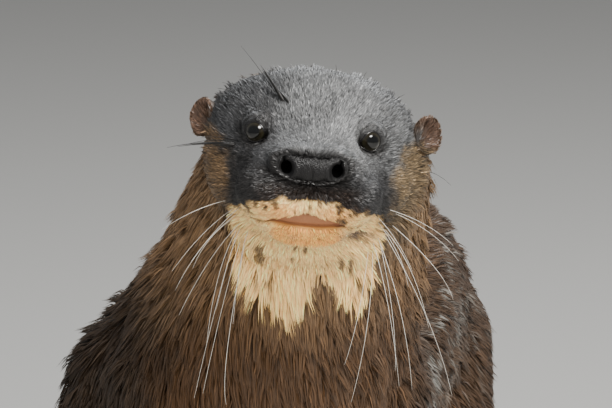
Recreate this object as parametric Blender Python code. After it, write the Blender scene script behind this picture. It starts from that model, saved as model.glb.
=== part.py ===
# A spotted-necked otter standing on four feet, with its neck raised and its head turned to its left.
# The numbers are millimetres and the meshes are metres. +Z is up, the rump is toward +Y and the
# otter's own left is toward +X. The solids reach to the tips of the coat, and thin flat cuts part
# one whole body into the lengths a person would name.

import math

import bmesh
import bpy
from mathutils import Matrix, Vector

MM = 0.001
GAP = 0.3                                 # left between neighbouring solids
VOXEL = 2.6                               # grain of the whole body before it is thinned
SMOOTHING = 4                             # rounds of easing for the head and feet
BODY_SMOOTHING = 14                       # further rounds for the plainer lengths of the body

HEAD_KEEP = 0.086                          # share of the whole body's faces kept in each grade
FOOT_KEEP = 0.026
BODY_KEEP = 0.0122

# Head: the nose's front centre, and how the head is turned.
NOSE_POINT = Vector((55.8, -124.7, 315.0))
HEAD_YAW = 11.0
HEAD_PITCH = 5.0
HEAD_ROLL = 5.0

# Sections of the head: distance behind the nose, top, bottom, half width, level of the widest
# place, and the fullness of the curve (2 is an ellipse).
HEAD_SECTIONS = (
    (2.5, 2.5, -17.5, 13.0, -8.5, 2.2),
    (7.0, 6.5, -27.0, 20.0, -11.5, 2.2),
    (12.0, 8.5, -33.5, 24.0, -12.5, 2.2),
    (20.0, 10.0, -37.5, 28.0, -13.0, 2.2),
    (29.0, 12.5, -39.0, 30.5, -12.5, 2.1),
    (38.0, 17.0, -40.0, 34.0, -10.5, 2.0),
    (48.0, 21.0, -40.5, 38.5, -7.5, 2.0),
    (60.0, 24.2, -41.0, 42.0, -4.5, 2.1),
    (74.0, 24.8, -42.0, 44.5, -4.5, 2.1),
    (90.0, 20.8, -43.0, 45.5, -7.5, 2.0),
    (106.0, 14.5, -41.0, 42.0, -12.0, 2.0),
    (118.0, 4.0, -34.0, 30.0, -14.0, 2.0),
)
WHISKER_PAD = {"centre": (15.0, 14.5, -13.2), "radii": (17.0, 13.0, 12.0)}
CHIN = {"centre": (0.0, 20.0, -29.5), "radii": (18.0, 12.5, 9.5)}
BROW = {"centre": (21.0, 44.0, 8.0), "radii": (10.0, 12.0, 6.5)}
CHEEK = {"centre": (28.0, 58.0, -17.0), "radii": (16.0, 26.0, 18.0)}
THROAT = {"centre": (0.0, 60.0, -40.0), "radii": (33.0, 28.0, 18.0)}

EYE = {"centre": (22.6, 37.0, 4.9), "radius": 5.8, "opening": 4.9, "outward": 24.0, "upward": 11.0}
EAR = {"centre": (46.8, 77.0, -1.5), "half_width": 7.6, "half_height": 8.6, "half_depth": 2.4,
       "dish": 2.6, "outward": 48.0, "lean": 8.0}
NOSE = {"half_width": 13.2, "half_height": 5.4, "depth": 8.5, "nostril": 2.7, "nostril_x": 9.6}

# Sections from the skull to the tail's root: place, half width, and the reach of the back and of
# the underside from that place.
TORSO_SECTIONS = (
    (42.0, -46.0, 313.0, 45.0, 28.0, 30.0),
    (39.0, -34.5, 299.0, 52.0, 40.0, 50.0),
    (33.5, -23.5, 284.0, 55.5, 46.0, 60.0),
    (27.0, -16.0, 267.0, 58.0, 50.0, 63.0),
    (20.5, -9.5, 249.0, 63.5, 51.0, 64.0),
    (12.0, -3.0, 229.0, 69.5, 50.0, 64.0),
    (4.0, 5.0, 207.0, 73.0, 48.0, 66.0),
    (0.0, 26.0, 182.0, 70.0, 48.0, 72.0),
    (0.0, 56.0, 170.0, 67.0, 58.0, 75.0),
    (0.0, 92.0, 173.0, 66.0, 66.0, 73.0),
    (0.0, 132.0, 183.0, 67.5, 71.0, 71.0),
    (0.0, 176.0, 192.0, 68.0, 74.0, 69.0),
    (0.0, 222.0, 189.0, 64.0, 71.0, 65.0),
    (0.0, 264.0, 175.0, 58.0, 64.0, 57.0),
    (0.0, 302.0, 157.0, 52.0, 53.0, 48.0),
    (0.0, 334.0, 136.0, 41.0, 39.0, 37.0),
)
WITHERS = {"centre": (0.0, 66.0, 180.0), "radii": (58.0, 70.0, 60.0)}
NAPE = {"centre": (5.0, 40.0, 205.0), "radii": (58.0, 50.0, 52.0)}

# Tail: it drops from the rump and lies along the floor.
TAIL = {"root": (0.0, 362.0, 113.0), "end": (112.0, 757.0, 4.0), "fall": 5.2, "root_half": 31.0,
        "end_half": 5.0, "flatness": 0.86, "dip": 3.6, "lengths": 14}

# Legs of the left side: place, half width across and half width from front to back.
FORELEG_SECTIONS = (
    (47.0, 16.0, 228.0, 17.0, 22.0),
    (52.0, 14.0, 206.0, 27.0, 34.0),
    (55.0, 15.0, 180.0, 28.0, 38.0),
    (59.0, 20.0, 148.0, 24.5, 34.0),
    (62.0, 26.0, 116.0, 20.0, 25.0),
    (63.0, 19.0, 86.0, 17.0, 19.0),
    (64.0, 8.0, 56.0, 15.0, 16.0),
    (65.0, -1.0, 30.0, 15.5, 16.0),
    (65.0, -8.0, 12.0, 16.5, 15.0),
)
HINDLEG_SECTIONS = (
    (36.0, 264.0, 210.0, 16.0, 28.0),
    (44.0, 256.0, 180.0, 23.0, 42.0),
    (49.0, 241.0, 147.0, 22.5, 42.0),
    (55.0, 228.0, 114.0, 18.5, 30.0),
    (60.0, 244.0, 82.0, 15.0, 19.0),
    (61.0, 265.0, 52.0, 12.0, 14.0),
    (61.0, 270.0, 29.0, 12.0, 13.5),
    (61.0, 264.0, 11.0, 12.5, 13.5),
)
FORE_STEP = {"left": (0.0, 10.0), "right": (-3.0, -12.0)}      # how far each foot is set out and on
HIND_STEP = {"left": (0.0, -8.0), "right": (-2.0, 12.0)}
FOREFOOT = {"ankle": (65.0, -8.0, 12.0), "palm": (17.0, 19.0, 12.5), "palm_ahead": 10.0, "toes": 42.0,
            "spread": 16.0, "toe_half": 5.0, "web": 31.0, "heel": 0.0}
HINDFOOT = {"ankle": (61.0, 264.0, 11.0), "palm": (19.0, 24.0, 11.0), "palm_ahead": 52.0, "toes": 90.0,
            "spread": 11.0, "toe_half": 5.2, "web": 76.0, "heel": 13.0}
TOES = 5
SOLE_DIP = 2.0                            # the feet are made this far through the floor, then cut flat
CLAW = {"length": 9.5, "half": 1.7, "rise": 7.6, "drop": 4.2, "sunk": 4.5}

# Ovals that part each upper leg from the trunk's side.
ARM_OVAL = {"centre": (82.0, 18.0, 135.0), "radii": (42.0, 47.0, 90.0)}
THIGH_OVAL = {"centre": (76.0, 238.0, 140.0), "radii": (40.0, 52.0, 82.0)}

# Flat cuts: a place on each and the way it faces, toward the tail or the floor.
HEAD_CUT = ((0.0, 85.0, -10.0), (0.0, 0.78, -0.62))            # in the head's own axes
NECK_CUT = ((6.0, -6.0, 205.0), (-0.12, 0.46, -0.88))
CHEST_CUT_Y = 82.0
LOIN_CUT_Y = 176.0
TAIL_CUT = ((0.0, 346.0, 124.0), (0.0, 0.80, -0.60))
TAIL_CUTS_Y = (476.0, 616.0)
ELBOW_Z = 92.0
KNEE_Z = 96.0
WRIST_Z = 33.0
HOCK_Z = 38.0

COLOURS = {
    "fur_dark": ((0.045, 0.030, 0.020), 0.75),
    "fur_head": ((0.070, 0.066, 0.062), 0.70),
    "fur_neck": ((0.085, 0.055, 0.035), 0.75),
    "nose": ((0.020, 0.019, 0.018), 0.35),
    "eye": ((0.018, 0.012, 0.007), 0.05),
    "ear": ((0.075, 0.050, 0.038), 0.70),
    "claw": ((0.110, 0.080, 0.055), 0.45),
}


def clear_scene():
    for old in list(bpy.data.objects):
        bpy.data.objects.remove(old, do_unlink=True)


def make_material(name, colour, roughness):
    material = bpy.data.materials.new(name)
    material.use_nodes = True
    shader = material.node_tree.nodes["Principled BSDF"]
    shader.inputs["Base Color"].default_value = (*colour, 1.0)
    shader.inputs["Roughness"].default_value = roughness
    shader.inputs["Metallic"].default_value = 0.0
    return material


def smooth_rows(rows, steps):
    # A Catmull-Rom curve through rows of numbers, with this many steps between neighbours.
    ends = [rows[0]] + list(rows) + [rows[-1]]
    out = []
    for i in range(1, len(ends) - 2):
        before, start, end, after = ends[i - 1:i + 3]
        for step in range(steps):
            t = step / steps
            out.append([0.5 * (2 * b + (c - a) * t + (2 * a - 5 * b + 4 * c - d) * t * t
                               + (3 * b - a - 3 * c + d) * t ** 3)
                        for a, b, c, d in zip(before, start, end, after)])
    out.append(list(rows[-1]))
    return out


def add_tube(mesh, rings):
    # A closed skin over rings of points, with a point in the middle of each end.
    made = [[mesh.verts.new(point * MM) for point in ring] for ring in rings]
    count = len(made[0])
    for first, second in zip(made, made[1:]):
        for k in range(count):
            mesh.faces.new((first[k], first[(k + 1) % count], second[(k + 1) % count], second[k]))
    for ring, flip in ((made[0], True), (made[-1], False)):
        middle = mesh.verts.new(sum((v.co for v in ring), Vector()) / count)
        for k in range(count):
            pair = (ring[k], ring[(k + 1) % count])
            mesh.faces.new((pair[1], pair[0], middle) if flip else (pair[0], pair[1], middle))


def ring_across(centre, along, half, back, front, sides=28):
    # An oval of points across a length of body, its width along the X axis.
    side = Vector((1, 0, 0))
    up = side.cross(along).normalized()
    points = []
    for k in range(sides):
        turn = 2 * math.pi * k / sides
        rise = math.sin(turn)
        points.append(centre + side * (math.cos(turn) * half) + up * (rise * (back if rise > 0 else front)))
    return points


def add_length(mesh, rows, steps=4):
    # A tapering length through rows of place, half width and reach of the back and of the front.
    rows = smooth_rows(rows, steps)
    places = [Vector(row[:3]) for row in rows]
    rings = []
    for i, row in enumerate(rows):
        along = (places[min(i + 1, len(rows) - 1)] - places[max(i - 1, 0)]).normalized()
        rings.append(ring_across(places[i], along, row[3], row[4], row[-1]))
    add_tube(mesh, rings)


def add_ellipsoid(mesh, centre, radii, turn=Matrix.Identity(4)):
    place = turn @ Matrix.Translation(Vector(centre) * MM) @ Matrix.Diagonal((*(r * MM for r in radii), 1))
    bmesh.ops.create_uvsphere(mesh, u_segments=28, v_segments=18, radius=1.0, matrix=place)


def head_turn():
    turn = (Matrix.Rotation(math.radians(HEAD_YAW), 4, "Z")
            @ Matrix.Rotation(math.radians(HEAD_PITCH), 4, "X")
            @ Matrix.Rotation(math.radians(HEAD_ROLL), 4, "Y"))
    return Matrix.Translation(NOSE_POINT * MM) @ turn


def side_sign(side):
    return 1 if side == "left" else -1


def mirrored(point, side):
    return Vector((point[0] * side_sign(side), point[1], point[2]))


def add_head(mesh):
    rings = []
    for back, top, bottom, half, level, power in smooth_rows(HEAD_SECTIONS, 4):
        ring = []
        for k in range(40):
            turn = 2 * math.pi * k / 40
            across, rise = math.cos(turn), math.sin(turn)
            across = math.copysign(abs(across) ** (2 / power), across)
            rise = math.copysign(abs(rise) ** (2 / power), rise)
            reach = top - level if rise > 0 else level - bottom
            ring.append(head_turn() @ (Vector((half * across, back, level + rise * reach)) * MM) / MM)
        rings.append(ring[::-1])
    add_tube(mesh, rings[::-1])
    for form in (WHISKER_PAD, BROW, CHEEK):
        for side in ("left", "right"):
            add_ellipsoid(mesh, mirrored(form["centre"], side), form["radii"], head_turn())
    for form in (CHIN, THROAT):
        add_ellipsoid(mesh, form["centre"], form["radii"], head_turn())


def tail_rows():
    # The tail's sections: it tapers, falls from the rump in a fading curve and settles on the floor.
    root, end = Vector(TAIL["root"]), Vector(TAIL["end"])
    rows = []
    for k in range(TAIL["lengths"] + 1):
        t = k / TAIL["lengths"]
        taper = (1 - t) ** 0.85 * (1 - t * (1 - t))
        half = TAIL["end_half"] + (TAIL["root_half"] - TAIL["end_half"]) * taper
        flat = half * TAIL["flatness"]
        lying = flat - TAIL["dip"] * (1 - 0.4 * t)
        falling = (root.z - flat) * math.exp(-TAIL["fall"] * t) * (1 - t)
        across = end.x * t ** 1.6
        rows.append((across, root.y + (end.y - root.y) * t, lying + falling, half, flat, flat))
    return rows


def toe_places(foot, side, step):
    # Where each toe of a foot starts and ends, its middle toe straight on.
    ankle = mirrored(foot["ankle"], side) + Vector((step[0], step[1], 0))
    places = []
    for toe in range(TOES):
        k = toe - (TOES - 1) / 2
        turn = math.radians(k * foot["spread"])
        way = Vector((math.sin(turn), -math.cos(turn), 0))
        reach = foot["toes"] * (1 - 0.035 * k * k)
        tip = ankle + way * reach
        root = ankle + way * (reach - 27)
        root.z, tip.z = 8.0, 4.4
        places.append((root, tip, way))
    return ankle, places


def add_foot(mesh, foot, side, step):
    ankle, toes = toe_places(foot, side, step)
    palm = ankle + Vector((0, -foot["palm_ahead"], 0))
    palm.z = foot["palm"][2] - SOLE_DIP - 2.0
    add_ellipsoid(mesh, palm, foot["palm"])
    if foot["heel"]:
        back = ankle + Vector((0, 2, 0))
        rows = [(*back.lerp(palm, t).xy, 9.0, foot["heel"] + 5 * t, 10.0, 11.5) for t in (0, 0.35, 0.7, 1)]
        add_length(mesh, rows)
    web = palm.lerp(ankle + Vector((0, -foot["web"], 0)), 0.55)
    web.z = 4.5
    add_ellipsoid(mesh, web, (foot["palm"][0] * 1.12, foot["palm"][1] * 0.95, 4.4))
    for root, tip, way in toes:
        half = foot["toe_half"]
        rows = [(*root, half + 0.6, half + 2.4, half), (*root.lerp(tip, 0.55), half, half + 1.2, half + 0.8),
                (*tip, half * 0.86, half * 0.8, half * 0.86)]
        add_length(mesh, rows, 3)
        add_ellipsoid(mesh, tip - way * 1.0, (half * 0.95, half * 1.15, half * 0.95))


def make_object(name, mesh, material=None):
    data = bpy.data.meshes.new(name)
    mesh.to_mesh(data)
    mesh.free()
    made = bpy.data.objects.new(name, data)
    bpy.context.scene.collection.objects.link(made)
    if material:
        data.materials.append(material)
    return made


def applied(thing, name):
    # A plain mesh object with the modifiers of another worked in.
    graph = bpy.context.evaluated_depsgraph_get()
    data = bpy.data.meshes.new_from_object(thing.evaluated_get(graph))
    made = bpy.data.objects.new(name, data)
    bpy.context.scene.collection.objects.link(made)
    return made


def whole_body():
    mesh = bmesh.new()
    add_length(mesh, TORSO_SECTIONS + tuple(tail_rows()[:1]))
    add_length(mesh, TORSO_SECTIONS[-2:] + tuple(tail_rows()), 3)
    for form in (WITHERS, NAPE):
        add_ellipsoid(mesh, form["centre"], form["radii"])
    add_head(mesh)
    for side in ("left", "right"):
        for sections, foot, step in ((FORELEG_SECTIONS, FOREFOOT, FORE_STEP[side]),
                                     (HINDLEG_SECTIONS, HINDFOOT, HIND_STEP[side])):
            top, low = sections[0][2], sections[-1][2]
            rows = []
            for x, y, z, half, deep in sections:
                share = (top - z) / (top - low)
                rows.append((side_sign(side) * x + step[0] * share, y + step[1] * share, z, half, deep, deep))
            add_length(mesh, rows)
            add_foot(mesh, foot, side, step)
    rough = make_object("rough", mesh)
    remesh = rough.modifiers.new("one skin", "REMESH")
    remesh.mode = "VOXEL"
    remesh.voxel_size = VOXEL * MM
    ease = rough.modifiers.new("ease", "SMOOTH")
    ease.factor = 0.5
    ease.iterations = SMOOTHING
    body = applied(rough, "body")
    bpy.data.objects.remove(rough)
    return body


def thinned(body, share, name, easing=0):
    # A copy of the body with fewer faces, eased further first where it can be plainer.
    ease = body.modifiers.new("ease", "SMOOTH")
    ease.factor = 0.5
    ease.iterations = easing
    modifier = body.modifiers.new("thin", "DECIMATE")
    modifier.ratio = share
    made = applied(body, name)
    body.modifiers.clear()
    return made


def cut_away(mesh, place, facing):
    # Keep what lies behind a plane, and close the cut with one flat face.
    geometry = mesh.verts[:] + mesh.edges[:] + mesh.faces[:]
    bmesh.ops.bisect_plane(mesh, geom=geometry, dist=1e-7, plane_co=place * MM, plane_no=facing,
                           clear_outer=True)
    open_edges = [edge for edge in mesh.edges if edge.is_boundary]
    bmesh.ops.holes_fill(mesh, edges=open_edges, sides=0)


def keep_largest(mesh):
    # Drop the slivers a cut leaves beside the main piece.
    left, groups = set(mesh.verts), []
    while left:
        group, front = set(), [next(iter(left))]
        while front:
            vert = front.pop()
            if vert in left:
                left.discard(vert)
                group.add(vert)
                front.extend(edge.other_vert(vert) for edge in vert.link_edges)
        groups.append(group)
    groups.sort(key=len)
    for group in groups[:-1]:
        bmesh.ops.delete(mesh, geom=list(group), context="VERTS")


def part(source, name, planes, material):
    # One named length of the body: what lies behind every plane, half a gap short of each.
    mesh = bmesh.new()
    mesh.from_mesh(source.data)
    for place, facing in planes:
        facing = Vector(facing).normalized()
        cut_away(mesh, Vector(place) - facing * GAP / 2, facing)
    keep_largest(mesh)
    bmesh.ops.dissolve_degenerate(mesh, dist=1e-6, edges=mesh.edges[:])
    bmesh.ops.triangulate(mesh, faces=mesh.faces[:])
    bmesh.ops.recalc_face_normals(mesh, faces=mesh.faces[:])
    return make_object(name, mesh, material)


def other_side(plane):
    return plane[0], tuple(-n for n in plane[1])


def below(z):
    return (0, 0, z), (0, 0, 1)


def before(y):
    return (0, y, 0), (0, 1, 0)


def on_side(side):
    return (0, 0, 0), (-side_sign(side), 0, 0)


def carve(target, cutter_mesh, operation="DIFFERENCE"):
    # Cut a solid with another shape by an exact Boolean, then drop the cutter.
    cutter = make_object("cutter", cutter_mesh)
    cutter.hide_render = True
    cutter.display_type = "WIRE"
    modifier = target.modifiers.new("cut", "BOOLEAN")
    modifier.operation = operation
    modifier.solver = "EXACT"
    modifier.object = cutter
    result = applied(target, "result")
    old, target.data = target.data, result.data
    target.modifiers.clear()
    bpy.data.objects.remove(result)
    bpy.data.objects.remove(cutter)
    bpy.data.meshes.remove(old)


def oval_mesh(oval, side, margin):
    mesh = bmesh.new()
    centre = mirrored(oval["centre"], side) * MM
    place = Matrix.Translation(centre) @ Matrix.Diagonal((*((r + margin) * MM for r in oval["radii"]), 1))
    bmesh.ops.create_uvsphere(mesh, u_segments=14, v_segments=10, radius=1.0, matrix=place)
    return mesh


def turned_profile(mesh, profile, place, sides):
    # A solid of revolution about its own +Z, from (radius, height) pairs between two poles.
    low = mesh.verts.new(place @ Vector((0, 0, profile[0][1] * MM)))
    high = mesh.verts.new(place @ Vector((0, 0, profile[-1][1] * MM)))
    rings = []
    for radius, height in profile[1:-1]:
        turns = [2 * math.pi * k / sides for k in range(sides)]
        rings.append([mesh.verts.new(place @ (Vector((radius * math.cos(turn), radius * math.sin(turn),
                                                      height)) * MM)) for turn in turns])
    for k in range(sides):
        after = (k + 1) % sides
        mesh.faces.new((low, rings[0][after], rings[0][k]))
        mesh.faces.new((high, rings[-1][k], rings[-1][after]))
        for first, second in zip(rings, rings[1:]):
            mesh.faces.new((first[k], first[after], second[after], second[k]))


def eye_place(side):
    s = side_sign(side)
    gaze = Vector((s * math.sin(math.radians(EYE["outward"])), -math.cos(math.radians(EYE["outward"])),
                   math.tan(math.radians(EYE["upward"])))).normalized()
    spin = gaze.to_track_quat("Z", "Y").to_matrix().to_4x4()
    return head_turn() @ Matrix.Translation(mirrored(EYE["centre"], side) * MM) @ spin


def ball_profile(radius, rings, start=0.0, end=math.pi):
    return [(radius * math.sin(math.pi - start - (end - start) * k / rings),
             radius * math.cos(math.pi - start - (end - start) * k / rings)) for k in range(rings + 1)]


def make_eye(side, material):
    mesh = bmesh.new()
    turned_profile(mesh, ball_profile(EYE["radius"], 8), eye_place(side), 12)
    return make_object("eye_" + side, mesh, material)


def eye_socket(side):
    # A ball a gap larger than the eye, open to the front through a flared rim.
    mesh = bmesh.new()
    room = EYE["radius"] + GAP + 0.15
    rim = math.pi - math.asin(EYE["opening"] / room)
    profile = ball_profile(room, 6, 0.0, rim)
    far = profile[-1][1]
    profile += [(EYE["opening"] + 0.4, far + 1.2), (EYE["opening"] + 1.4, far + 4.5), (0.0, far + 5.0)]
    turned_profile(mesh, profile, eye_place(side), 12)
    return mesh


def ear_mesh(side, margin):
    # A small rounded ear: a flat oval with its front pressed into a dish.
    s = side_sign(side)
    mesh = bmesh.new()
    bmesh.ops.create_uvsphere(mesh, u_segments=12, v_segments=7, radius=1.0)
    half, high, deep = EAR["half_width"] + margin, EAR["half_height"] + margin, EAR["half_depth"] + margin
    for vert in mesh.verts:
        across, along, up = vert.co
        dish = EAR["dish"] * max(0.0, 1 - across ** 2 - up ** 2) if along < 0 else 0.0
        vert.co = Vector((across * half, along * deep + dish, up * high * (1.0 if up > 0 else 0.85))) * MM
    place = (head_turn() @ Matrix.Translation(mirrored(EAR["centre"], side) * MM)
             @ Matrix.Rotation(math.radians(s * EAR["outward"]), 4, "Z")
             @ Matrix.Rotation(math.radians(-EAR["lean"]), 4, "X"))
    mesh.transform(place)
    return mesh


def nose_mesh(margin):
    # The bare pad of the nose: broad above, drawn in below, its front gently crowned.
    mesh = bmesh.new()
    bmesh.ops.create_uvsphere(mesh, u_segments=18, v_segments=10, radius=1.0,
                              matrix=Matrix.Rotation(math.radians(90), 4, "X"))
    for vert in mesh.verts:
        across, along, up = vert.co
        across, up = (math.copysign(abs(a) ** 0.8, a) for a in (across, up))
        half = NOSE["half_width"] * (1.0 + 0.10 * up) + margin
        high = (NOSE["half_height"] if up > 0 else NOSE["half_height"] * 1.05) + margin
        deep = (NOSE["depth"] / 2 + margin) * (1 - 0.18 * across ** 2)
        back = NOSE["depth"] / 2 + along * deep + 2.2 * across ** 2
        vert.co = Vector((across * half, back, up * high)) * MM
    mesh.transform(head_turn())
    return mesh


def make_nose(material):
    nose = make_object("nose", nose_mesh(0.0), material)
    cutter = bmesh.new()
    for side in ("left", "right"):
        centre = mirrored((NOSE["nostril_x"], 1.2, 0.0), side)
        bmesh.ops.create_uvsphere(cutter, u_segments=8, v_segments=6, radius=NOSE["nostril"] * MM,
                                  matrix=head_turn() @ Matrix.Translation(centre * MM))
    carve(nose, cutter)
    return nose


def claw_mesh(root, way, margin):
    # One claw: a short cone that bends down to a blunt point.
    mesh = bmesh.new()
    across = way.cross(Vector((0, 0, 1)))
    rings = []
    for t in (0.0, 0.55, 1.0):
        centre = root + way * (CLAW["length"] * t) - Vector((0, 0, CLAW["drop"] * t ** 1.7))
        half = CLAW["half"] * (1 - 0.72 * t ** 1.4) + margin
        rings.append([centre + across * (half * math.cos(k * math.pi / 2.5)) * 0.8
                      + Vector((0, 0, half * math.sin(k * math.pi / 2.5))) for k in range(5)])
    rings[0] = [point - way * margin for point in rings[0]]
    rings[-1] = [point + way * margin for point in rings[-1]]
    add_tube(mesh, rings)
    bmesh.ops.recalc_face_normals(mesh, faces=mesh.faces[:])
    return mesh


def claw_root(tip, way):
    root = tip - way * CLAW["sunk"] * 0.4
    return Vector((root.x, root.y, CLAW["rise"]))


def joined(meshes):
    whole = bmesh.new()
    for mesh in meshes:
        data = bpy.data.meshes.new("joint")
        mesh.to_mesh(data)
        mesh.free()
        whole.from_mesh(data)
        bpy.data.meshes.remove(data)
    return whole


def make_claws(foot_object, name, foot, side, step, material):
    toes = toe_places(foot, side, step)[1]
    carve(foot_object, joined([claw_mesh(claw_root(tip, way), way, GAP) for root, tip, way in toes]))
    for number, (root, tip, way) in enumerate(toes):
        make_object(f"claw_{name}_{side}_{number + 1}", claw_mesh(claw_root(tip, way), way, 0.0), material)


def centre_on_floor(things):
    # Bring the middle of the animal's box over the origin, with the soles at the floor.
    corners = [thing.matrix_world @ Vector(corner) for thing in things for corner in thing.bound_box]
    low = Vector(min(c[i] for c in corners) for i in range(3))
    high = Vector(max(c[i] for c in corners) for i in range(3))
    shift = Matrix.Translation((-(low.x + high.x) / 2, -(low.y + high.y) / 2, -low.z))
    for thing in things:
        thing.data.transform(shift)


def build():
    clear_scene()
    look = {name: make_material(name, colour, rough) for name, (colour, rough) in COLOURS.items()}
    body = whole_body()
    floor_up = ((0, 0, -GAP / 2), (0, 0, -1))
    fine = thinned(body, HEAD_KEEP, "fine")
    middling = thinned(body, FOOT_KEEP, "middling")
    coarse = thinned(body, BODY_KEEP, "coarse", BODY_SMOOTHING)

    head_plane = (tuple(head_turn() @ (Vector(HEAD_CUT[0]) * MM) / MM),
                  tuple(head_turn().to_3x3() @ Vector(HEAD_CUT[1])))
    head = part(fine, "head", [head_plane], look["fur_head"])
    part(coarse, "neck", [other_side(head_plane), NECK_CUT], look["fur_neck"])

    trunk_front = [other_side(NECK_CUT), before(CHEST_CUT_Y), other_side(below(ELBOW_Z))]
    trunk_rear = [other_side(before(LOIN_CUT_Y)), TAIL_CUT, other_side(below(KNEE_Z))]
    chest = part(coarse, "chest", trunk_front, look["fur_dark"])
    rump = part(coarse, "rump", trunk_rear, look["fur_dark"])
    part(coarse, "loin", [other_side(before(CHEST_CUT_Y)), before(LOIN_CUT_Y), other_side(below(ELBOW_Z))],
         look["fur_dark"])
    part(coarse, "tail_base", [other_side(TAIL_CUT), before(TAIL_CUTS_Y[0]), floor_up], look["fur_dark"])
    part(coarse, "tail_middle", [other_side(before(TAIL_CUTS_Y[0])), before(TAIL_CUTS_Y[1]), floor_up],
         look["fur_dark"])
    part(coarse, "tail_tip", [other_side(before(TAIL_CUTS_Y[1])), floor_up], look["fur_dark"])

    for side in ("left", "right"):
        fore = [on_side(side), before(CHEST_CUT_Y)]
        hind = [on_side(side), other_side(before(LOIN_CUT_Y)), before(340.0)]
        for trunk, planes, oval, name in ((chest, trunk_front, ARM_OVAL, f"upper_foreleg_{side}"),
                                          (rump, trunk_rear, THIGH_OVAL, f"thigh_{side}")):
            leg = part(coarse, name, planes, look["fur_dark"])
            carve(leg, oval_mesh(oval, side, -GAP / 2), "INTERSECT")
            carve(trunk, oval_mesh(oval, side, GAP))
        part(coarse, f"lower_foreleg_{side}", fore + [below(ELBOW_Z), other_side(below(WRIST_Z))],
             look["fur_dark"])
        forefoot = part(middling, f"forefoot_{side}", fore + [below(WRIST_Z), floor_up], look["fur_dark"])
        part(coarse, f"lower_hindleg_{side}", hind + [below(KNEE_Z), other_side(below(HOCK_Z))],
             look["fur_dark"])
        toes = [on_side(side), other_side(before(CHEST_CUT_Y)), before(340.0)]      # these reach under the loin
        hindfoot = part(middling, f"hindfoot_{side}", toes + [below(HOCK_Z), floor_up], look["fur_dark"])
        make_claws(forefoot, "fore", FOREFOOT, side, FORE_STEP[side], look["claw"])
        make_claws(hindfoot, "hind", HINDFOOT, side, HIND_STEP[side], look["claw"])

        carve(head, eye_socket(side))
        make_eye(side, look["eye"])
        carve(head, ear_mesh(side, GAP))
        make_object("ear_" + side, ear_mesh(side, 0.0), look["ear"])
    carve(head, nose_mesh(GAP))
    make_nose(look["nose"])

    for guide in (body, fine, middling, coarse):
        bpy.data.objects.remove(guide)
    things = list(bpy.data.objects)
    for thing in things:
        thing.data.shade_smooth()
        thing.data.set_sharp_from_angle(angle=math.radians(50))
    centre_on_floor(things)


build()
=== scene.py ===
import itertools
import math
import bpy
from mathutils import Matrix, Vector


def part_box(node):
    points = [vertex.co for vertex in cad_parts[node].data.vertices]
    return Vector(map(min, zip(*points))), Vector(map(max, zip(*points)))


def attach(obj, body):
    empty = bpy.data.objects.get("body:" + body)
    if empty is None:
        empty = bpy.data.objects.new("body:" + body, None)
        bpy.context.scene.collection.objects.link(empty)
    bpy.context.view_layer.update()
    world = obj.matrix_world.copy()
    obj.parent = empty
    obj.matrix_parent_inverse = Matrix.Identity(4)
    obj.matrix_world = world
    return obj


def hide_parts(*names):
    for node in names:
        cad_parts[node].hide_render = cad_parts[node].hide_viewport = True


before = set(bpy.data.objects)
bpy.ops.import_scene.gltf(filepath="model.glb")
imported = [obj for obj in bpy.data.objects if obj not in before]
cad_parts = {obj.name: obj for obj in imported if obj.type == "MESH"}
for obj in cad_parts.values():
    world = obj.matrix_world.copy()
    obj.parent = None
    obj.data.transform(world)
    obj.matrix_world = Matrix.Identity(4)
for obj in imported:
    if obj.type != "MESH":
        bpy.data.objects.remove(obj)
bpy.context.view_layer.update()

from types import SimpleNamespace

import bmesh
import bpy
import numpy as np
from mathutils import Matrix, Vector, kdtree
from mathutils.bvhtree import BVHTree

mm = 0.001
chance = np.random.default_rng(11)


def boxMiddle(node):
    low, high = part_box(node)
    return (low + high) / 2


# The head's own axes: x to the otter's left, y back from the nose, z up, in millimetres.
headPose = {"yaw": 11.0, "pitch": 5.0, "roll": 5.0, "eyeBack": 37.0, "eyeUp": 4.9}


def turnAbout(degrees, axis):
    return Matrix.Rotation(math.radians(degrees), 3, axis)


headTurn = (turnAbout(headPose["yaw"], "Z") @ turnAbout(headPose["pitch"], "X")
            @ turnAbout(headPose["roll"], "Y"))
eyesMiddle = (boxMiddle("eye_left") + boxMiddle("eye_right")) / 2
noseFront = eyesMiddle - headTurn @ Vector((0, headPose["eyeBack"], headPose["eyeUp"])) * mm
turnArray = np.array(headTurn)
noseArray = np.array(noseFront)


def toHead(places):
    return (places - noseArray) @ turnArray / mm


def fromHead(places):
    return np.asarray(places, float) * mm @ turnArray.T + noseArray


def ease(low, high, value):
    # A smooth step from 0 at low to 1 at high.
    t = np.clip((value - low) / (high - low), 0.0, 1.0)
    return t * t * (3 - 2 * t)


def fade(low, high, value):
    # The other way: from 1 at low to 0 at high.
    return 1 - ease(low, high, value)


def normalised(vectors):
    return vectors / np.maximum(np.linalg.norm(vectors, axis=-1, keepdims=True), 1e-12)


def deselectAll():
    if bpy.context.object and bpy.context.object.mode != "OBJECT":
        bpy.ops.object.mode_set(mode="OBJECT")
    bpy.ops.object.select_all(action="DESELECT")


def makeActive(thing):
    deselectAll()
    thing.select_set(True)
    bpy.context.view_layer.objects.active = thing


def applyAll(thing):
    makeActive(thing)
    for modifier in list(thing.modifiers):
        bpy.ops.object.modifier_apply(modifier=modifier.name)


def addThing(name, data):
    thing = bpy.data.objects.new(name, data)
    bpy.context.scene.collection.objects.link(thing)
    return thing


def joinAll(things, name):
    deselectAll()
    for thing in things:
        thing.select_set(True)
    bpy.context.view_layer.objects.active = things[0]
    bpy.ops.object.join()
    joined = bpy.context.object
    joined.name = joined.data.name = name
    return joined


def editMesh(data, work):
    mesh = bmesh.new()
    mesh.from_mesh(data)
    work(mesh)
    mesh.to_mesh(data)
    mesh.free()


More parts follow.
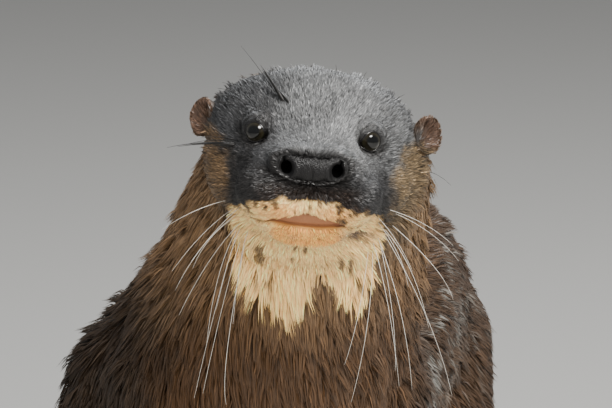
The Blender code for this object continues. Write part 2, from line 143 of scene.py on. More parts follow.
def weld(mesh, distance):
    bmesh.ops.remove_doubles(mesh, verts=mesh.verts[:], dist=distance)
    bmesh.ops.recalc_face_normals(mesh, faces=mesh.faces[:])


def finishSurface(thing, material):
    makeActive(thing)
    bpy.ops.object.shade_smooth()
    thing.data.materials.append(material)


def readAll(things, field, width, kind=np.float32):
    values = np.empty(len(things) * width, kind)
    things.foreach_get(field, values)
    return values.reshape(-1, width)


def readPoints(data):
    return readAll(data.vertices, "co", 3).astype(float)


def readNormals(data):
    return readAll(data.vertex_normals, "vector", 3).astype(float)


def readEdges(data):
    return readAll(data.edges, "vertices", 2, np.int32)


def writePoints(data, points):
    data.vertices.foreach_set("co", np.ascontiguousarray(points, np.float32).ravel())
    data.update()


def evenOut(values, edges, rounds, strength=0.5):
    # Each point moves toward the middle of its neighbours, as far as its own strength says.
    count = len(values)
    degree = np.maximum(np.bincount(edges.ravel(), minlength=count), 1)[:, None]
    strength = np.broadcast_to(np.asarray(strength, float).reshape(-1, 1), (count, 1))
    for _ in range(rounds):
        around = np.empty_like(values)
        for axis in range(values.shape[1]):
            column = values[:, axis]
            around[:, axis] = np.bincount(edges[:, 0], column[edges[:, 1]], count) \
                + np.bincount(edges[:, 1], column[edges[:, 0]], count)
        values = values + (around / degree - values) * strength
    return values


def noise(places, size, seed=0):
    # Smooth noise from -1 to 1 at each place; size is the width of one wave.
    cells = places / size
    base = np.floor(cells).astype(np.int64)
    part = cells - base
    part = part * part * (3 - 2 * part)
    total = np.zeros(len(places))
    for corner in itertools.product((0, 1), repeat=3):
        key = base + np.array(corner)
        mixed = key * (73856093, 19349663, 83492791)
        mixed = mixed[:, 0] ^ mixed[:, 1] ^ mixed[:, 2] ^ (seed * 40503 + 977)
        mixed = ((mixed ^ (mixed >> 13)) * 1274126177) & 0xffffffff
        mixed = ((mixed ^ (mixed >> 16)) * 2246822519) & 0xffffffff
        weight = np.prod(np.where(np.array(corner) == 1, part, 1 - part), axis=1)
        total += weight * ((mixed >> 8 & 0xffff) / 32767.5 - 1)
    return total


def bump(value, middle, width):
    return np.exp(-((value - middle) / width) ** 2)


# camera, light and floor come first, so that each look at the work is from the same place
# the camera's way round the nose in degrees and its distance in metres; then, in millimetres at the nose,
# the width it sees and how far the nose lies from the middle of that
view = {"azimuth": 11.0, "elevation": 10.0, "distance": 3.0, "wide": 251.852,
        "noseAcross": 2.469, "noseUp": 13.992}


def directionOf(azimuth, elevation):
    # The way from the nose out to a camera or lamp.
    turn, rise = math.radians(azimuth), math.radians(elevation)
    return math.sin(turn) * math.cos(rise), -math.cos(turn) * math.cos(rise), math.sin(rise)


viewTurn = math.radians(view["azimuth"])
viewRight = np.array((math.cos(viewTurn), math.sin(viewTurn), 0))
viewBack = np.array(directionOf(view["azimuth"], view["elevation"]))
viewUp = np.cross(viewRight, -viewBack)
cameraRight, cameraBack = Vector(viewRight), Vector(viewBack)
cameraUp = cameraRight.cross(-cameraBack)


def makeCamera():
    lens = bpy.data.cameras.new("camera")
    lens.lens = lens.sensor_width * view["distance"] / (view["wide"] * mm)
    camera = addThing("camera", lens)
    aim = noseFront - (cameraRight * view["noseAcross"] + cameraUp * view["noseUp"]) * mm
    camera.location = aim + cameraBack * view["distance"]
    camera.rotation_euler = (math.radians(90 - view["elevation"]), 0, viewTurn)
    bpy.context.scene.camera = camera


# the lamps: way round the nose and rise in degrees, distance and width in metres, power in watts, colour,
# and whether they show in the wet eyes
lamps = {"keyLight": (52, 54, 1.6, 0.7, 52, (1.0, 0.98, 0.95), True),
         "fillLight": (-50, 25, 2.2, 1.6, 20, (0.95, 0.97, 1.0), False),
         "frontLight": (24, 12, 2.4, 1.2, 44, (1.0, 0.98, 0.95), False),
         "backLight": (175, 50, 1.9, 1.0, 28, (0.95, 0.98, 1.0), True)}


def makeLight(name, azimuth, elevation, distance, size, power, colour, mirrored):
    away = Vector(directionOf(azimuth, elevation))
    lamp = bpy.data.lights.new(name, "AREA")
    lamp.shape = "DISK"
    lamp.size = size
    lamp.energy = power
    lamp.color = colour
    thing = addThing(name, lamp)
    thing.location = noseFront + away * distance
    thing.rotation_euler = (-away).to_track_quat("-Z", "Y").to_euler()
    thing.visible_glossy = mirrored


def shaderOf(name, roughness=0.5, gloss=0.5):
    material = bpy.data.materials.new(name)
    material.use_nodes = True
    shader = material.node_tree.nodes["Principled BSDF"]
    shader.inputs["Roughness"].default_value = roughness
    shader.inputs["Specular IOR Level"].default_value = gloss
    return material, shader, material.node_tree.nodes, material.node_tree.links


def plainMaterial(name, colour, roughness, gloss=0.5):
    material, shader = shaderOf(name, roughness, gloss)[:2]
    shader.inputs["Base Color"].default_value = (*colour, 1)
    return material


def addRelief(material, kind, source, scale, strength, height):
    # A fine grain in the surface, from a texture in the object's own places.
    nodes, links = material.node_tree.nodes, material.node_tree.links
    place = nodes.new("ShaderNodeTexCoord")
    grain = nodes.new(kind)
    grain.inputs["Scale"].default_value = scale
    relief = nodes.new("ShaderNodeBump")
    relief.inputs["Strength"].default_value = strength
    relief.inputs["Distance"].default_value = height
    links.new(place.outputs["Object"], grain.inputs["Vector"])
    links.new(grain.outputs[source], relief.inputs["Height"])
    links.new(relief.outputs["Normal"], nodes["Principled BSDF"].inputs["Normal"])
    return grain, relief


def makeStage():
    deselectAll()
    bpy.ops.mesh.primitive_plane_add(size=8.0, location=(0, 0, 0))
    floor = bpy.context.object
    floor.name = "floor"
    bpy.ops.object.mode_set(mode="EDIT")
    bpy.ops.mesh.select_all(action="SELECT")
    bpy.ops.mesh.subdivide(number_cuts=3)
    bpy.ops.object.mode_set(mode="OBJECT")
    floor.data.materials.append(plainMaterial("paleFloor", (0.42, 0.41, 0.39), 0.85))
    world = bpy.data.worlds.new("softRoom")
    bpy.context.scene.world = world
    world.use_nodes = True
    sky = world.node_tree.nodes["Background"]
    sky.inputs["Color"].default_value = (0.62, 0.64, 0.66, 1)
    sky.inputs["Strength"].default_value = 0.45
    for name, settings in lamps.items():
        makeLight(name, *settings)


makeCamera()
makeStage()
print("camera and stage made")

# skin: one surface under the whole coat
sides = {"left": 1, "right": -1}      # the otter's left is +x
partGroups = {"head": ["head"], "neck": ["neck"], "trunk": ["chest", "loin", "rump"],
              "tail": ["tail_base", "tail_middle", "tail_tip"],
              "thigh": [f"{part}_{side}" for side in sides for part in ("upper_foreleg", "thigh")],
              "shin": [f"{part}_{side}" for side in sides for part in ("lower_foreleg", "lower_hindleg")],
              "foot": [f"{part}_{side}" for side in sides for part in ("forefoot", "hindfoot")],
              "ear": ["ear_left", "ear_right"]}
groupNames = list(partGroups)
fleshNodes = [name for names in partGroups.values() for name in names]
skinBuild = {"overlap": 0.4, "voxel": 1.6, "rounds": 60, "triangles": 165000,
             "evenness": {"head": 0.06, "neck": 0.5, "trunk": 0.5, "tail": 0.25, "thigh": 0.4, "shin": 0.16,
                          "foot": 0.045, "ear": 0.03}}
# how far under the tips of the coat the skin lies, in millimetres
coatDepth = {"head": 2.0, "neck": 4.4, "trunk": 4.6, "tail": 3.0, "thigh": 4.0, "shin": 2.2, "foot": 0.9,
             "ear": 0.5}


def copyOfNode(name):
    copy = addThing(name + "_copy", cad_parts[name].data.copy())
    copy.data.materials.clear()
    return copy


def swell(mesh):
    # Grows a node until it overlaps its neighbours.
    weld(mesh, 0.00001)
    mesh.normal_update()
    moved = [vert.co + vert.normal * skinBuild["overlap"] * mm for vert in mesh.verts]
    for vert, place in zip(mesh.verts, moved):
        vert.co = place


def joinedFlesh():
    names = [name for name in fleshNodes if not name.startswith("ear")] + ["eye_left", "eye_right", "nose"]
    copies = [copyOfNode(name) for name in names]
    for copy in copies:
        editMesh(copy.data, swell)
    joined = joinAll(copies, "skin")
    remesh = joined.modifiers.new("oneSurface", "REMESH")
    remesh.mode = "VOXEL"
    remesh.voxel_size = skinBuild["voxel"] * mm
    applyAll(joined)
    dropLoosePieces(joined.data)
    return joined


def dropLoosePieces(data):
    edges = readEdges(data)
    label = np.arange(len(data.vertices))
    while True:
        before = label.copy()
        np.minimum.at(label, edges[:, 0], label[edges[:, 1]])
        np.minimum.at(label, edges[:, 1], label[edges[:, 0]])
        label = label[label]
        if (label == before).all():
            break
    main = np.bincount(label).argmax()
    editMesh(data, lambda mesh: bmesh.ops.delete(
        mesh, geom=[vert for vert in mesh.verts if label[vert.index] != main], context="VERTS"))


# which part of the body a place belongs to, from the nearest wall of the frame
wallPoints, wallFaces, wallGroup = [], [], []
for groupName, names in partGroups.items():
    for name in names:
        wall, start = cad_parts[name].data, len(wallPoints)
        wallPoints.extend(vert.co.copy() for vert in wall.vertices)
        wallFaces.extend([start + k for k in face.vertices] for face in wall.polygons)
        wallGroup.extend([groupNames.index(groupName)] * len(wall.polygons))
walls = BVHTree.FromPolygons(wallPoints, wallFaces)


def groupShares(data, rounds):
    near = [wallGroup[walls.find_nearest(vert.co)[2]] for vert in data.vertices]
    return evenOut(np.eye(len(groupNames))[near], readEdges(data), rounds)


def byGroup(shares, table):
    return shares @ np.array([table[name] for name in groupNames], float)


def shareOf(shares, *names):
    return shares[:, [groupNames.index(name) for name in names]].sum(1)


def headPlaces(places):
    # Across, behind the nose, up, and how far past the head's join into the neck.
    across, behind, up = toHead(places).T
    return across, behind, up, 0.78 * (behind - 85) - 0.62 * (up + 10)


def shrinkToSkin(thing):
    data = thing.data
    shares, edges = groupShares(data, 12), readEdges(data)
    places = evenOut(readPoints(data), edges, skinBuild["rounds"], byGroup(shares, skinBuild["evenness"]))
    writePoints(data, places)
    behind, past = headPlaces(places)[1::2]
    depth = byGroup(shares, coatDepth)
    onHead = shareOf(shares, "head", "neck") > 0.5
    headDepth = 1.2 + 0.8 * ease(15, 60, behind) + 2.4 * ease(-30, 45, past)
    depth = np.where(onHead, np.minimum(depth, headDepth), depth)
    normals = readNormals(data)
    height = places[:, 2] / mm
    depth *= 1 - ease(0.35, 0.8, -normals[:, 2]) * fade(3, 9, height)     # soles stay on the floor
    depth *= 1 - 0.55 * ease(0.33, 0.445, places[:, 1])      # the tail's end is thin
    depth = evenOut(depth[:, None], edges, 10)[:, 0]
    places = places - normals * (depth + skinBuild["overlap"])[:, None] * mm
    places[:, 2] = np.maximum(places[:, 2], 0.00005)
    writePoints(data, evenOut(places, edges, 2, 0.3))


def refine(data, chosen, rounds):
    def cut(mesh):
        edges = [edge for edge in mesh.edges if all(chosen[vert.index] for vert in edge.verts)]
        bmesh.ops.subdivide_edges(mesh, edges=edges, cuts=1, use_grid_fill=True)
        bmesh.ops.triangulate(mesh, faces=[face for face in mesh.faces if len(face.verts) > 4])

    editMesh(data, cut)
    writePoints(data, evenOut(readPoints(data), readEdges(data), rounds, 0.35))


# the face: the eyes' own axes, and the lines of the mouth
eyeForm = {"radius": 5.8, "outward": 24.0, "upward": 11.0, "halfWide": 4.5, "lid": 0.5, "bare": 0.4,
           "corners": ((0.18, 198, 20), (-0.13, 138, 36), (-0.07, 75, 45), (-0.03, 270, 40))}


def eyeAxes(side):
    # The eye's middle, the way it looks, the way out from the nose, and the way up.
    gaze = Vector(directionOf(sides[side] * eyeForm["outward"], eyeForm["upward"]))
    outward = Vector((0, 0, 1)).cross(gaze).normalized()
    outward = outward if outward.x * sides[side] > 0 else -outward
    rise = gaze.cross(outward).normalized()
    rise = rise if rise.z > 0 else -rise
    centre = toHead(np.array(boxMiddle("eye_" + side)))
    return centre, np.array(gaze), np.array(outward), np.array(rise)


def openingAt(angle):
    # How wide the lids open at an angle from the outer corner; the inner corner is drawn out low.
    opening = 1
    for share, degrees, width in eyeForm["corners"]:
        away = (angle - math.radians(degrees) + math.pi) % (2 * math.pi) - math.pi
        opening = opening + share * bump(away, 0, math.radians(width))
    return eyeForm["halfWide"] * opening


def aroundEye(local, side):
    # Out along the eye's two axes and its gaze, and how far out it would be if the lids opened round.
    centre, gaze, outward, rise = eyeAxes(side)
    offset = local - centre
    u, v, h = offset @ outward, offset @ rise, offset @ gaze
    reach = np.hypot(u, v) * eyeForm["halfWide"] / openingAt(np.arctan2(v, u))
    return u, v, h, reach


padForm = {"halfWide": 14.8, "halfHigh": 4.9, "below": 1.14, "flare": 0.42, "crown": 1.4, "curve": 2.6,
           "slope": 0.022}


def padLevel(across, up):
    # How far behind the tip of the nose the pad and the skin round it lie, from its curves.
    return padForm["curve"] * np.minimum(np.abs(across) / padForm["halfWide"], 1.2) ** 2 \
        + padForm["slope"] * np.maximum(up + padForm["halfHigh"], 0) ** 2


def padHigh(share, up, margin):
    # The pad's half height at a share of its half width: the top rises toward the corners.
    upper = 1 + padForm["flare"] * share ** 2
    return padForm["halfHigh"] * np.where(up > 0, upper, padForm["below"]) + margin


def fromPad(across, up, margin=0.0):
    # 1 on the outline of the nose's bare pad, less inside it.
    x = np.abs(across) / (padForm["halfWide"] + margin)
    return (x ** 2.5 + (np.abs(up) / padHigh(np.minimum(x, 1), up, margin)) ** 2.5) ** 0.4


def mouthLine(across):
    side = np.abs(across)
    return -26.0 + 0.5 * bump(side, 12, 5) - 0.012 * np.maximum(side - 13, 0) ** 2


def lipPeak(across):
    return -18.9 - np.abs(across) * 5.6 / 15.5


def shapeFace(thing):
    data = thing.data
    local = toHead(readPoints(data))
    normals = readNormals(data) @ turnArray
    across, behind, up = local.T
    side = np.abs(across)
    forward = ease(0.05, 0.5, -normals[:, 1]) * fade(30, 42, behind)
    low = fade(-9, -5, up)
    move = np.zeros_like(local)
    # lips: a groove where they meet, the upper lips full and hanging a little over it
    fromLine = up - mouthLine(across)
    lips = forward * low * fade(24, 31, side)
    inward = 1.5 * bump(fromLine, 0, 0.55) - 0.9 * bump(fromLine, 3.6 + 0.1 * side, 3.0) * ease(2, 8, side)
    inward -= 0.75 * bump(fromLine, -2.6, 1.9) * fade(12, 22, side)
    bare = ease(-0.6, 0.3, lipPeak(across) - up) * ease(-0.2, 0.5, fromLine) * fade(14, 16.5, side)
    inward += 0.55 * bare
    # the furrow from the lips to the nose
    inward += 0.55 * bump(across, 0, 0.55) * ease(-21.5, -19, up) * fade(-9, -7, up)
    inward += 0.5 * bump(across, 0, 2.6) * ease(-22, -18, up) * fade(-10, -7, up)
    # a shelf under the nose, and the seat of the pad
    inward += 0.5 * bump(up, -6.6, 1.4) * fade(10, 15, side)
    move[:, 1] += inward * lips
    # the furred skin comes up level with the edge of the nose's pad all round
    ring = fromPad(across, up)
    level = padForm["crown"] - 0.25 + padLevel(across, up) + 7.0 * np.maximum(ring - 1, 0)
    drawn = (behind - level) * fade(1.25, 1.7, ring) * (ring > 0.9)
    drawn = drawn * (behind < 16) * fade(16, 19, side)
    move[:, 1] -= np.clip(drawn, 0, 8) * (normals[:, 1] < 0.5)
    move[:, 1] += 8.5 * fade(0.84, 0.97, ring) * fade(8, 12, behind)
    writePoints(data, fromHead(local + move))
    for name in sides:
        shapeLids(data, name)


def shapeLids(data, name):
    local = toHead(readPoints(data))
    gaze, outward, rise = eyeAxes(name)[1:]
    u, v, h, reach = aroundEye(local, name)
    near = (h > -2) & (reach < 13)
    radius, lid, wide = eyeForm["radius"], eyeForm["lid"], eyeForm["halfWide"]
    spread = np.hypot(u, v)
    ball = np.sqrt(np.maximum(radius ** 2 - spread ** 2, 0))
    edge = math.sqrt(radius ** 2 - wide ** 2)
    over = np.sqrt(np.maximum((radius + lid) ** 2 - np.minimum(spread, 5.4) ** 2, 0)) \
        - 0.85 * np.maximum(spread - 5.4, 0)
    lidHeight = over - 0.5 * fade(wide + 0.2, wide + 1.2, reach)
    share = np.where(h > lidHeight, fade(4.7, 8.6, reach), fade(5.6, 9.6, reach))
    shaped = h * (1 - share) + lidHeight * share
    upper = ease(-1.5, 1.5, v)
    angle = np.arctan2(v, u)
    folds = 0.62 + 0.38 * np.sin(2 * angle + 0.7)
    shaped -= (0.45 * bump(reach, 6.4, 0.45) * upper + 0.3 * bump(reach, 6.9, 0.5) * (1 - upper)) * folds
    shaped += (0.35 * bump(reach, 7.4, 0.6) * upper + 0.3 * bump(reach, 8.3, 0.8) * (1 - upper)) * folds
    shaped -= 0.35 * bump(reach, 8.6, 0.5) * upper * folds
    shaped -= 0.22 * np.cos(angle * 17) * bump(reach, 9.4, 2.0) * ease(1.5, 6, u)
    inside = reach < wide - 0.15
    shaped = np.where(inside, np.minimum(ball - 1.1, edge), shaped)
    shift = np.where(near, shaped - h, 0)
    ringed = near & (np.abs(reach - wide - 0.15) < 0.3)
    pull = np.where(ringed, (wide + 0.15 - reach) / np.maximum(reach, 0.1), 0)
    local = local + gaze * shift[:, None] + (outward * u[:, None] + rise * v[:, None]) * pull[:, None]
    writePoints(data, fromHead(local))


def faceChoice(data, level):
    # Which points of the face get smaller faces: all of it first, then the eyes, the mouth and the nose.
    local = toHead(readPoints(data))
    across, behind, up = local.T
    side = np.abs(across)
    eyes = np.min([np.linalg.norm(local - eyeAxes(name)[0], axis=1) for name in sides], axis=0)
    if level == 0:
        return (behind < 50) & (up > -44) & (side < 46)
    mouth = (np.abs(up - mouthLine(across)) < 4.5) & (behind < 36) & (side < 28)
    furrow = (side < 3.5) & (up < -5) & (up > -24) & (behind < 20)
    return (eyes < 11.5) | mouth | furrow | ((behind < 14) & (np.abs(up) < 9.5) & (side < 17))


skin = joinedFlesh()
print("skin joined", len(skin.data.vertices))
shrinkToSkin(skin)
refine(skin.data, faceChoice(skin.data, 0), 3)
refine(skin.data, faceChoice(skin.data, 1), 2)
print("skin refined", len(skin.data.vertices))
shapeFace(skin)


def thinBody(thing):
    # Fewer triangles where the coat hides the skin.
    places = readPoints(thing.data)
    shares = groupShares(thing.data, 4)
    past = headPlaces(places)[3]
    plain = np.where(shareOf(shares, "head") > 0.5, ease(-45, 0, past),
                     shareOf(shares, "trunk", "neck", "thigh", "tail"))
    group = thing.vertex_groups.new(name="plain")
    levels = np.round(np.clip(plain, 0, 1) * 8) / 8
    for level in np.unique(levels):
        group.add(np.nonzero(levels == level)[0].tolist(), float(level), "REPLACE")
    fewer = thing.modifiers.new("fewer", "DECIMATE")
    fewer.ratio = skinBuild["triangles"] / sum(len(face.vertices) - 2 for face in thing.data.polygons)
    print("share of triangles kept", round(fewer.ratio, 3))
    fewer.vertex_group = "plain"
    applyAll(thing)
    thing.vertex_groups.clear()


thinBody(skin)
print("skin shaped", len(skin.data.vertices), len(skin.data.polygons))


# ears: small rounded cups, part of the skin
earForm = {"apart": 46.9, "shift": 1.5, "back": 77.0, "up": -1.5, "outward": 48.0, "lean": 8.0,
           "halfWide": 7.0, "halfHigh": 8.2, "around": 48,
           "profile": ((0.0, 1.1), (0.25, 1.0), (0.5, 0.55), (0.7, -0.25), (0.84, -1.15), (0.94, -1.5),
                       (1.0, -1.1), (1.02, -0.3), (0.99, 0.5), (0.88, 1.3), (0.65, 1.9), (0.35, 2.25),
                       (0.0, 2.35))}


def meshFrom(name, points, faces):
    data = bpy.data.meshes.new(name)
    data.from_pydata([tuple(point) for point in points], [], faces)
    data.validate()
    editMesh(data, lambda mesh: weld(mesh, 0.000002))
    return addThing(name, data)


def circleAngles(count):
    return np.arange(count) / count * 2 * math.pi


def ringFaces(rings, around):
    faces = []
    for start in range(0, (rings - 1) * around, around):
        for k in range(around):
            after = (k + 1) % around
            faces.append((start + k, start + after, start + around + after, start + around + k))
    return faces


def makeEar(side):
    sign = sides[side]
    turn = np.array(turnAbout(sign * earForm["outward"], "Z") @ turnAbout(-earForm["lean"], "X"))
    angles = circleAngles(earForm["around"])
    points = []
    for reach, depth in earForm["profile"]:
        x = reach * np.cos(angles) * earForm["halfWide"]
        z = reach * np.sin(angles) * earForm["halfHigh"]
        z = np.where(z < 0, z * 0.88, z)
        y = np.full_like(x, depth)
        if depth < 1.2 and reach < 0.9:      # the folds inside the cup
            y -= 1.0 * bump(x * sign, 1.2 + 0.12 * z, 1.1) * ease(-4, 0, z) * fade(4, 6.5, z)
            y += 1.1 * bump(x * sign, -2.2, 2.0) * bump(z, -2.6, 2.2)
        points.append(np.stack([x, y, z], 1))
    middle = (sign * earForm["apart"] + earForm["shift"], earForm["back"], earForm["up"])
    points = np.concatenate(points) @ turn.T + middle
    return meshFrom("ear", fromHead(points), ringFaces(len(earForm["profile"]), earForm["around"]))


skin = joinAll([skin] + [makeEar(side) for side in sides], "skin")
bpy.ops.object.shade_smooth()
print("ears joined")

# markings: one set of colours for skin and coat, as shares of named colours; some of them are painted sheen,
# highlights and shade
paint = {"silver": (0.096, 0.097, 0.097), "mask": (0.031, 0.031, 0.032), "muzzle": (0.011, 0.010, 0.0095),
         "underNose": (0.017, 0.011, 0.008), "cheek": (0.112, 0.078, 0.042), "neck": (0.215, 0.128, 0.062),
         "chest": (0.074, 0.038, 0.0165), "shoulder": (0.024, 0.016, 0.010), "back": (0.058, 0.037, 0.024),
         "belly": (0.105, 0.072, 0.045), "leg": (0.042, 0.027, 0.018), "tail": (0.044, 0.028, 0.018),
         "wet": (0.215, 0.210, 0.190), "cream": (0.97, 0.62, 0.25), "lip": (0.84, 0.39, 0.12),
         "chin": (0.82, 0.33, 0.062), "bareLip": (0.50, 0.185, 0.080), "mottle": (0.16, 0.11, 0.07),
         "fleck": (0.035, 0.022, 0.015), "ear": (0.155, 0.100, 0.064), "earCup": (0.075, 0.040, 0.028)}
# the dark flecks on the pale lips, chin and throat: across and up from the nose, and their radius
flecks = ((11, -21.7, 1.6), (12.6, -20.6, 1.2), (14.8, -17.8, 1.5), (17.2, -15.6, 1.6), (10.8, -15.6, 1.2),
          (21.6, -16.5, 1.4), (-0.9, -13.9, 0.9), (2.8, -13.2, 0.9), (-13.9, -13.5, 1.1), (-6.9, -16.4, 0.6),
          (-24.5, -15.4, 1.6), (-21.6, -13.6, 1.3), (-18.6, -14.3, 1.1), (-6, -30.5, 1.0), (-2.6, -31.4, 0.9),
          (-8, -35.5, 0.9), (-21, -32, 2.2), (-22, -41, 1.7), (-17, -42.5, 1.9), (11, -36.5, 1.4),
          (15, -36.5, 1.5), (20, -45, 1.1), (-26, -48, 1.2))
# half the mask's width at heights above the nose, and where the dark of the muzzle begins across it; it
# begins higher on the viewer's left, partly as painted shade
maskForm = {"heights": (-17, -10, -3, 3, 8, 11, 14, 17, 22, 30),
            "widths": (30.5, 33, 33.5, 33.5, 34.5, 36.5, 40.5, 46, 56, 64),
            "sides": (-34, -22, -12, 12, 18, 34), "darkTop": (9, 3, 0, -1, -5, -8), "tilt": 0.0767}
# the sizes of the noise that makes the markings' edges uneven, in metres, and their seeds
markingNoise = ((0.030, 3), (0.009, 5), (0.0035, 7), (0.0022, 9))
# the lower edge of the pale throat patch at the roots of its hair, with two lobes and a brown notch
throatForm = {"across": (-34, -31, -27, -21, -11, -2.5, 1.4, 4.6, 9.5, 14.5, 19.5, 22.5, 25, 28),
              "bottom": (-26, -36, -44, -50, -57, -50, -42, -41, -46, -51, -53, -46, -34, -24)}


def frontPlaces(places):
    # Across and up as seen from before the nose, and how far behind it, in millimetres.
    offset = (places - noseArray) / mm
    return offset @ viewRight, offset @ viewUp, -(offset @ viewBack)


def markingPlaces(places, normals, shares):
    # What the markings go by at each place: the part of the body, where it lies, and noise of four sizes.
    at = SimpleNamespace(places=places, normals=normals, **dict(zip(groupNames, shares.T)))
    at.across, at.behind, at.up, at.past = headPlaces(places)
    at.x, at.z, at.deep = frontPlaces(places)
    at.level, at.rise = at.x - maskForm["tilt"] * at.z, at.z + maskForm["tilt"] * at.x
    at.height = places[:, 2] / mm
    at.coarse, at.middle, at.fine, at.ragged = (noise(places, size, seed) for size, seed in markingNoise)
    return at


def layBody(lay, at):
    x, z, deep, height, middle = at.x, at.z, at.deep, at.height, at.middle
    head, neck, trunk, thigh, normals = at.head, at.neck, at.trunk, at.thigh, at.normals
    lay("back", np.ones(len(x)))
    lay("belly", ease(-0.1, 0.75, -normals[:, 2] + 0.12 * at.coarse) * trunk)
    lay("leg", thigh * 0.6 + at.shin + at.foot)
    lay("tail", at.tail)
    # the front of the body: brown neck, darker chest and shoulders
    front = ease(-0.25, 0.55, -normals[:, 1] - 0.1 + 0.15 * at.coarse)
    lay("shoulder", (trunk + thigh) * ease(120, 170, height) * fade(90, 160, deep))
    lay("chest", (trunk + neck + 0.6 * thigh) * front * ease(100, 150, height))
    # painted shade: the shoulder on the viewer's left darker, on the side away from the key light
    lay("shoulder", (trunk + neck + thigh) * ease(100, 150, height) * (deep < 230)
        * ease(-4, 22, -x - 62 + 0.42 * (z + 100) + 8 * middle) * fade(-52, -30, z) * 0.9)
    neckTone = (neck + trunk * ease(235, 262, height) * fade(100, 135, deep)) \
        * ease(225, 285, height + 9 * at.coarse)
    lay("neck", neckTone * (0.16 + 0.84 * ease(-0.6, 0.1, -normals[:, 1] + 0.2 * middle)))
    lay("cheek", head * fade(0, 30, at.past) * (0.45 + 0.55 * ease(-0.7, 0.0, -normals[:, 1])))
    # painted shade: the head's side on the viewer's left darker, on the side away from the key light
    lay("chest", head * ease(22, 32, -x + 2 * middle) * 0.5)


def layShine(lay, at):
    # Painted highlights: wet hair's shine in pale streaks down the dark side behind the neck, and fainter
    # down the trunk's sides, most on the viewer's right.
    x, z, deep, height, trunk, normals = at.x, at.z, at.deep, at.height, at.trunk, at.normals
    flank = ease(-2, 3, x - 53 - 0.149 * (z + 26.7) + 3 * at.middle) * ease(30, 50, deep) \
        * fade(360, 460, deep) * (at.neck + trunk) * ease(130, 170, height) * fade(-22, -8, z) \
        * ease(0.03, 0.25, normals @ viewBack)
    lay("shoulder", flank * 0.6 * fade(150, 230, deep))
    wet = ease(0.1, 0.7, noise(at.places * (1, 0.55, 0.16), 0.0019, 15) + 0.45 * noise(at.places, 0.02, 17))
    lay("wet", wet * np.maximum(flank, trunk * ease(0.35, 0.8, np.abs(normals[:, 0]))
                                * ease(130, 170, height) * fade(150, 290, deep) * np.where(x > 0, 0.5, 0.12)))


def layMask(lay, at):
    # The grey wet mask, with a painted silver sheen over the crown, and near black down the muzzle.
    level, rise, middle, fine = at.level, at.rise, at.middle, at.fine
    width = np.interp(rise, maskForm["heights"], maskForm["widths"])
    mask = fade(-3.2, 3.2, np.abs(level) - width + 2.2 * middle + 2.0 * fine) * (at.deep < 110)
    mask *= fade(74, 112, at.behind + 9 * middle + 5 * fine) * (at.head + at.neck * fade(0, 25, at.past))
    mask *= ease(-29, -25, rise) * (at.up > -32)
    lay("mask", mask)
    shade = ease(8, 21, -level + 3 * middle)      # painted shade on the nearer side of the crown, which is wetter too
    # painted sheen: the wet crown's silver shine, less on the shaded nearer side and toward the viewer's
    # right
    crown = ease(-4, 5, rise - 1.0 + 1.5 * middle) * mask
    lay("silver", crown * (0.86 + 0.3 * middle) * (1 - 0.85 * shade) * (1 - 0.35 * ease(10, 40, level)))
    # the muzzle's own near black, with painted shade making it reach higher and darker on the viewer's left,
    # the shaded side
    darkTop = np.interp(level, maskForm["sides"], maskForm["darkTop"])
    lay("muzzle", mask * fade(-3.5, 3.5, rise - darkTop + 2 * middle) * (0.92 - 0.5 * ease(13, 22, level)))
    strands = ease(-0.1, 0.6, noise(at.places, 0.0019, 19)) * ease(11, 17, level) * fade(2, 12, rise)
    lay("muzzle", mask * strands * 0.62)
    # painted shade: darker between the eye and the ear on the shaded nearer side
    lay("muzzle", mask * shade * ease(4, 9, rise) * fade(26, 34, rise) * (0.3 + 0.25 * middle))
    lay("underNose", mask * fade(-9, -5, rise) * fade(14, 24, np.abs(level)) * 0.8)
    lay("muzzle", fade(1.0, 1.25, fromPad(at.across, at.up)) * (at.behind < 14) * at.head * 0.85)


def layLids(lay, at):
    for name in sides:
        u, v, h, reach = aroundEye(toHead(at.places), name)
        near = h > -6
        # folds of the lids: painted shade in the creases and painted highlights on the ridges between, and
        # painted shade in the inner corner
        wide = 3.6 if name == "right" else 0.8      # dark fur about each eye; about the nearer eye painted shade makes it reach further
        lay("muzzle", fade(5.4, 8.8 + wide, reach + at.fine + at.middle) * near * (0.66 + 0.03 * wide))
        lay("muzzle", bump(reach, 6.5 + 0.3 * at.middle, 0.4) * near * 0.75)
        lay("muzzle", bump(reach, 8.7 + 0.5 * at.middle, 0.5) * near * ease(-1, 2, v) * 0.6)
        lay("silver", bump(reach, 7.6 + 0.5 * at.middle, 0.4) * near * ease(-2, 2, v + 2 * at.middle) * 0.3)
        lay("muzzle", fade(2, 4.5, np.hypot(u + 6.8, v + 1.4)) * near * 0.7)


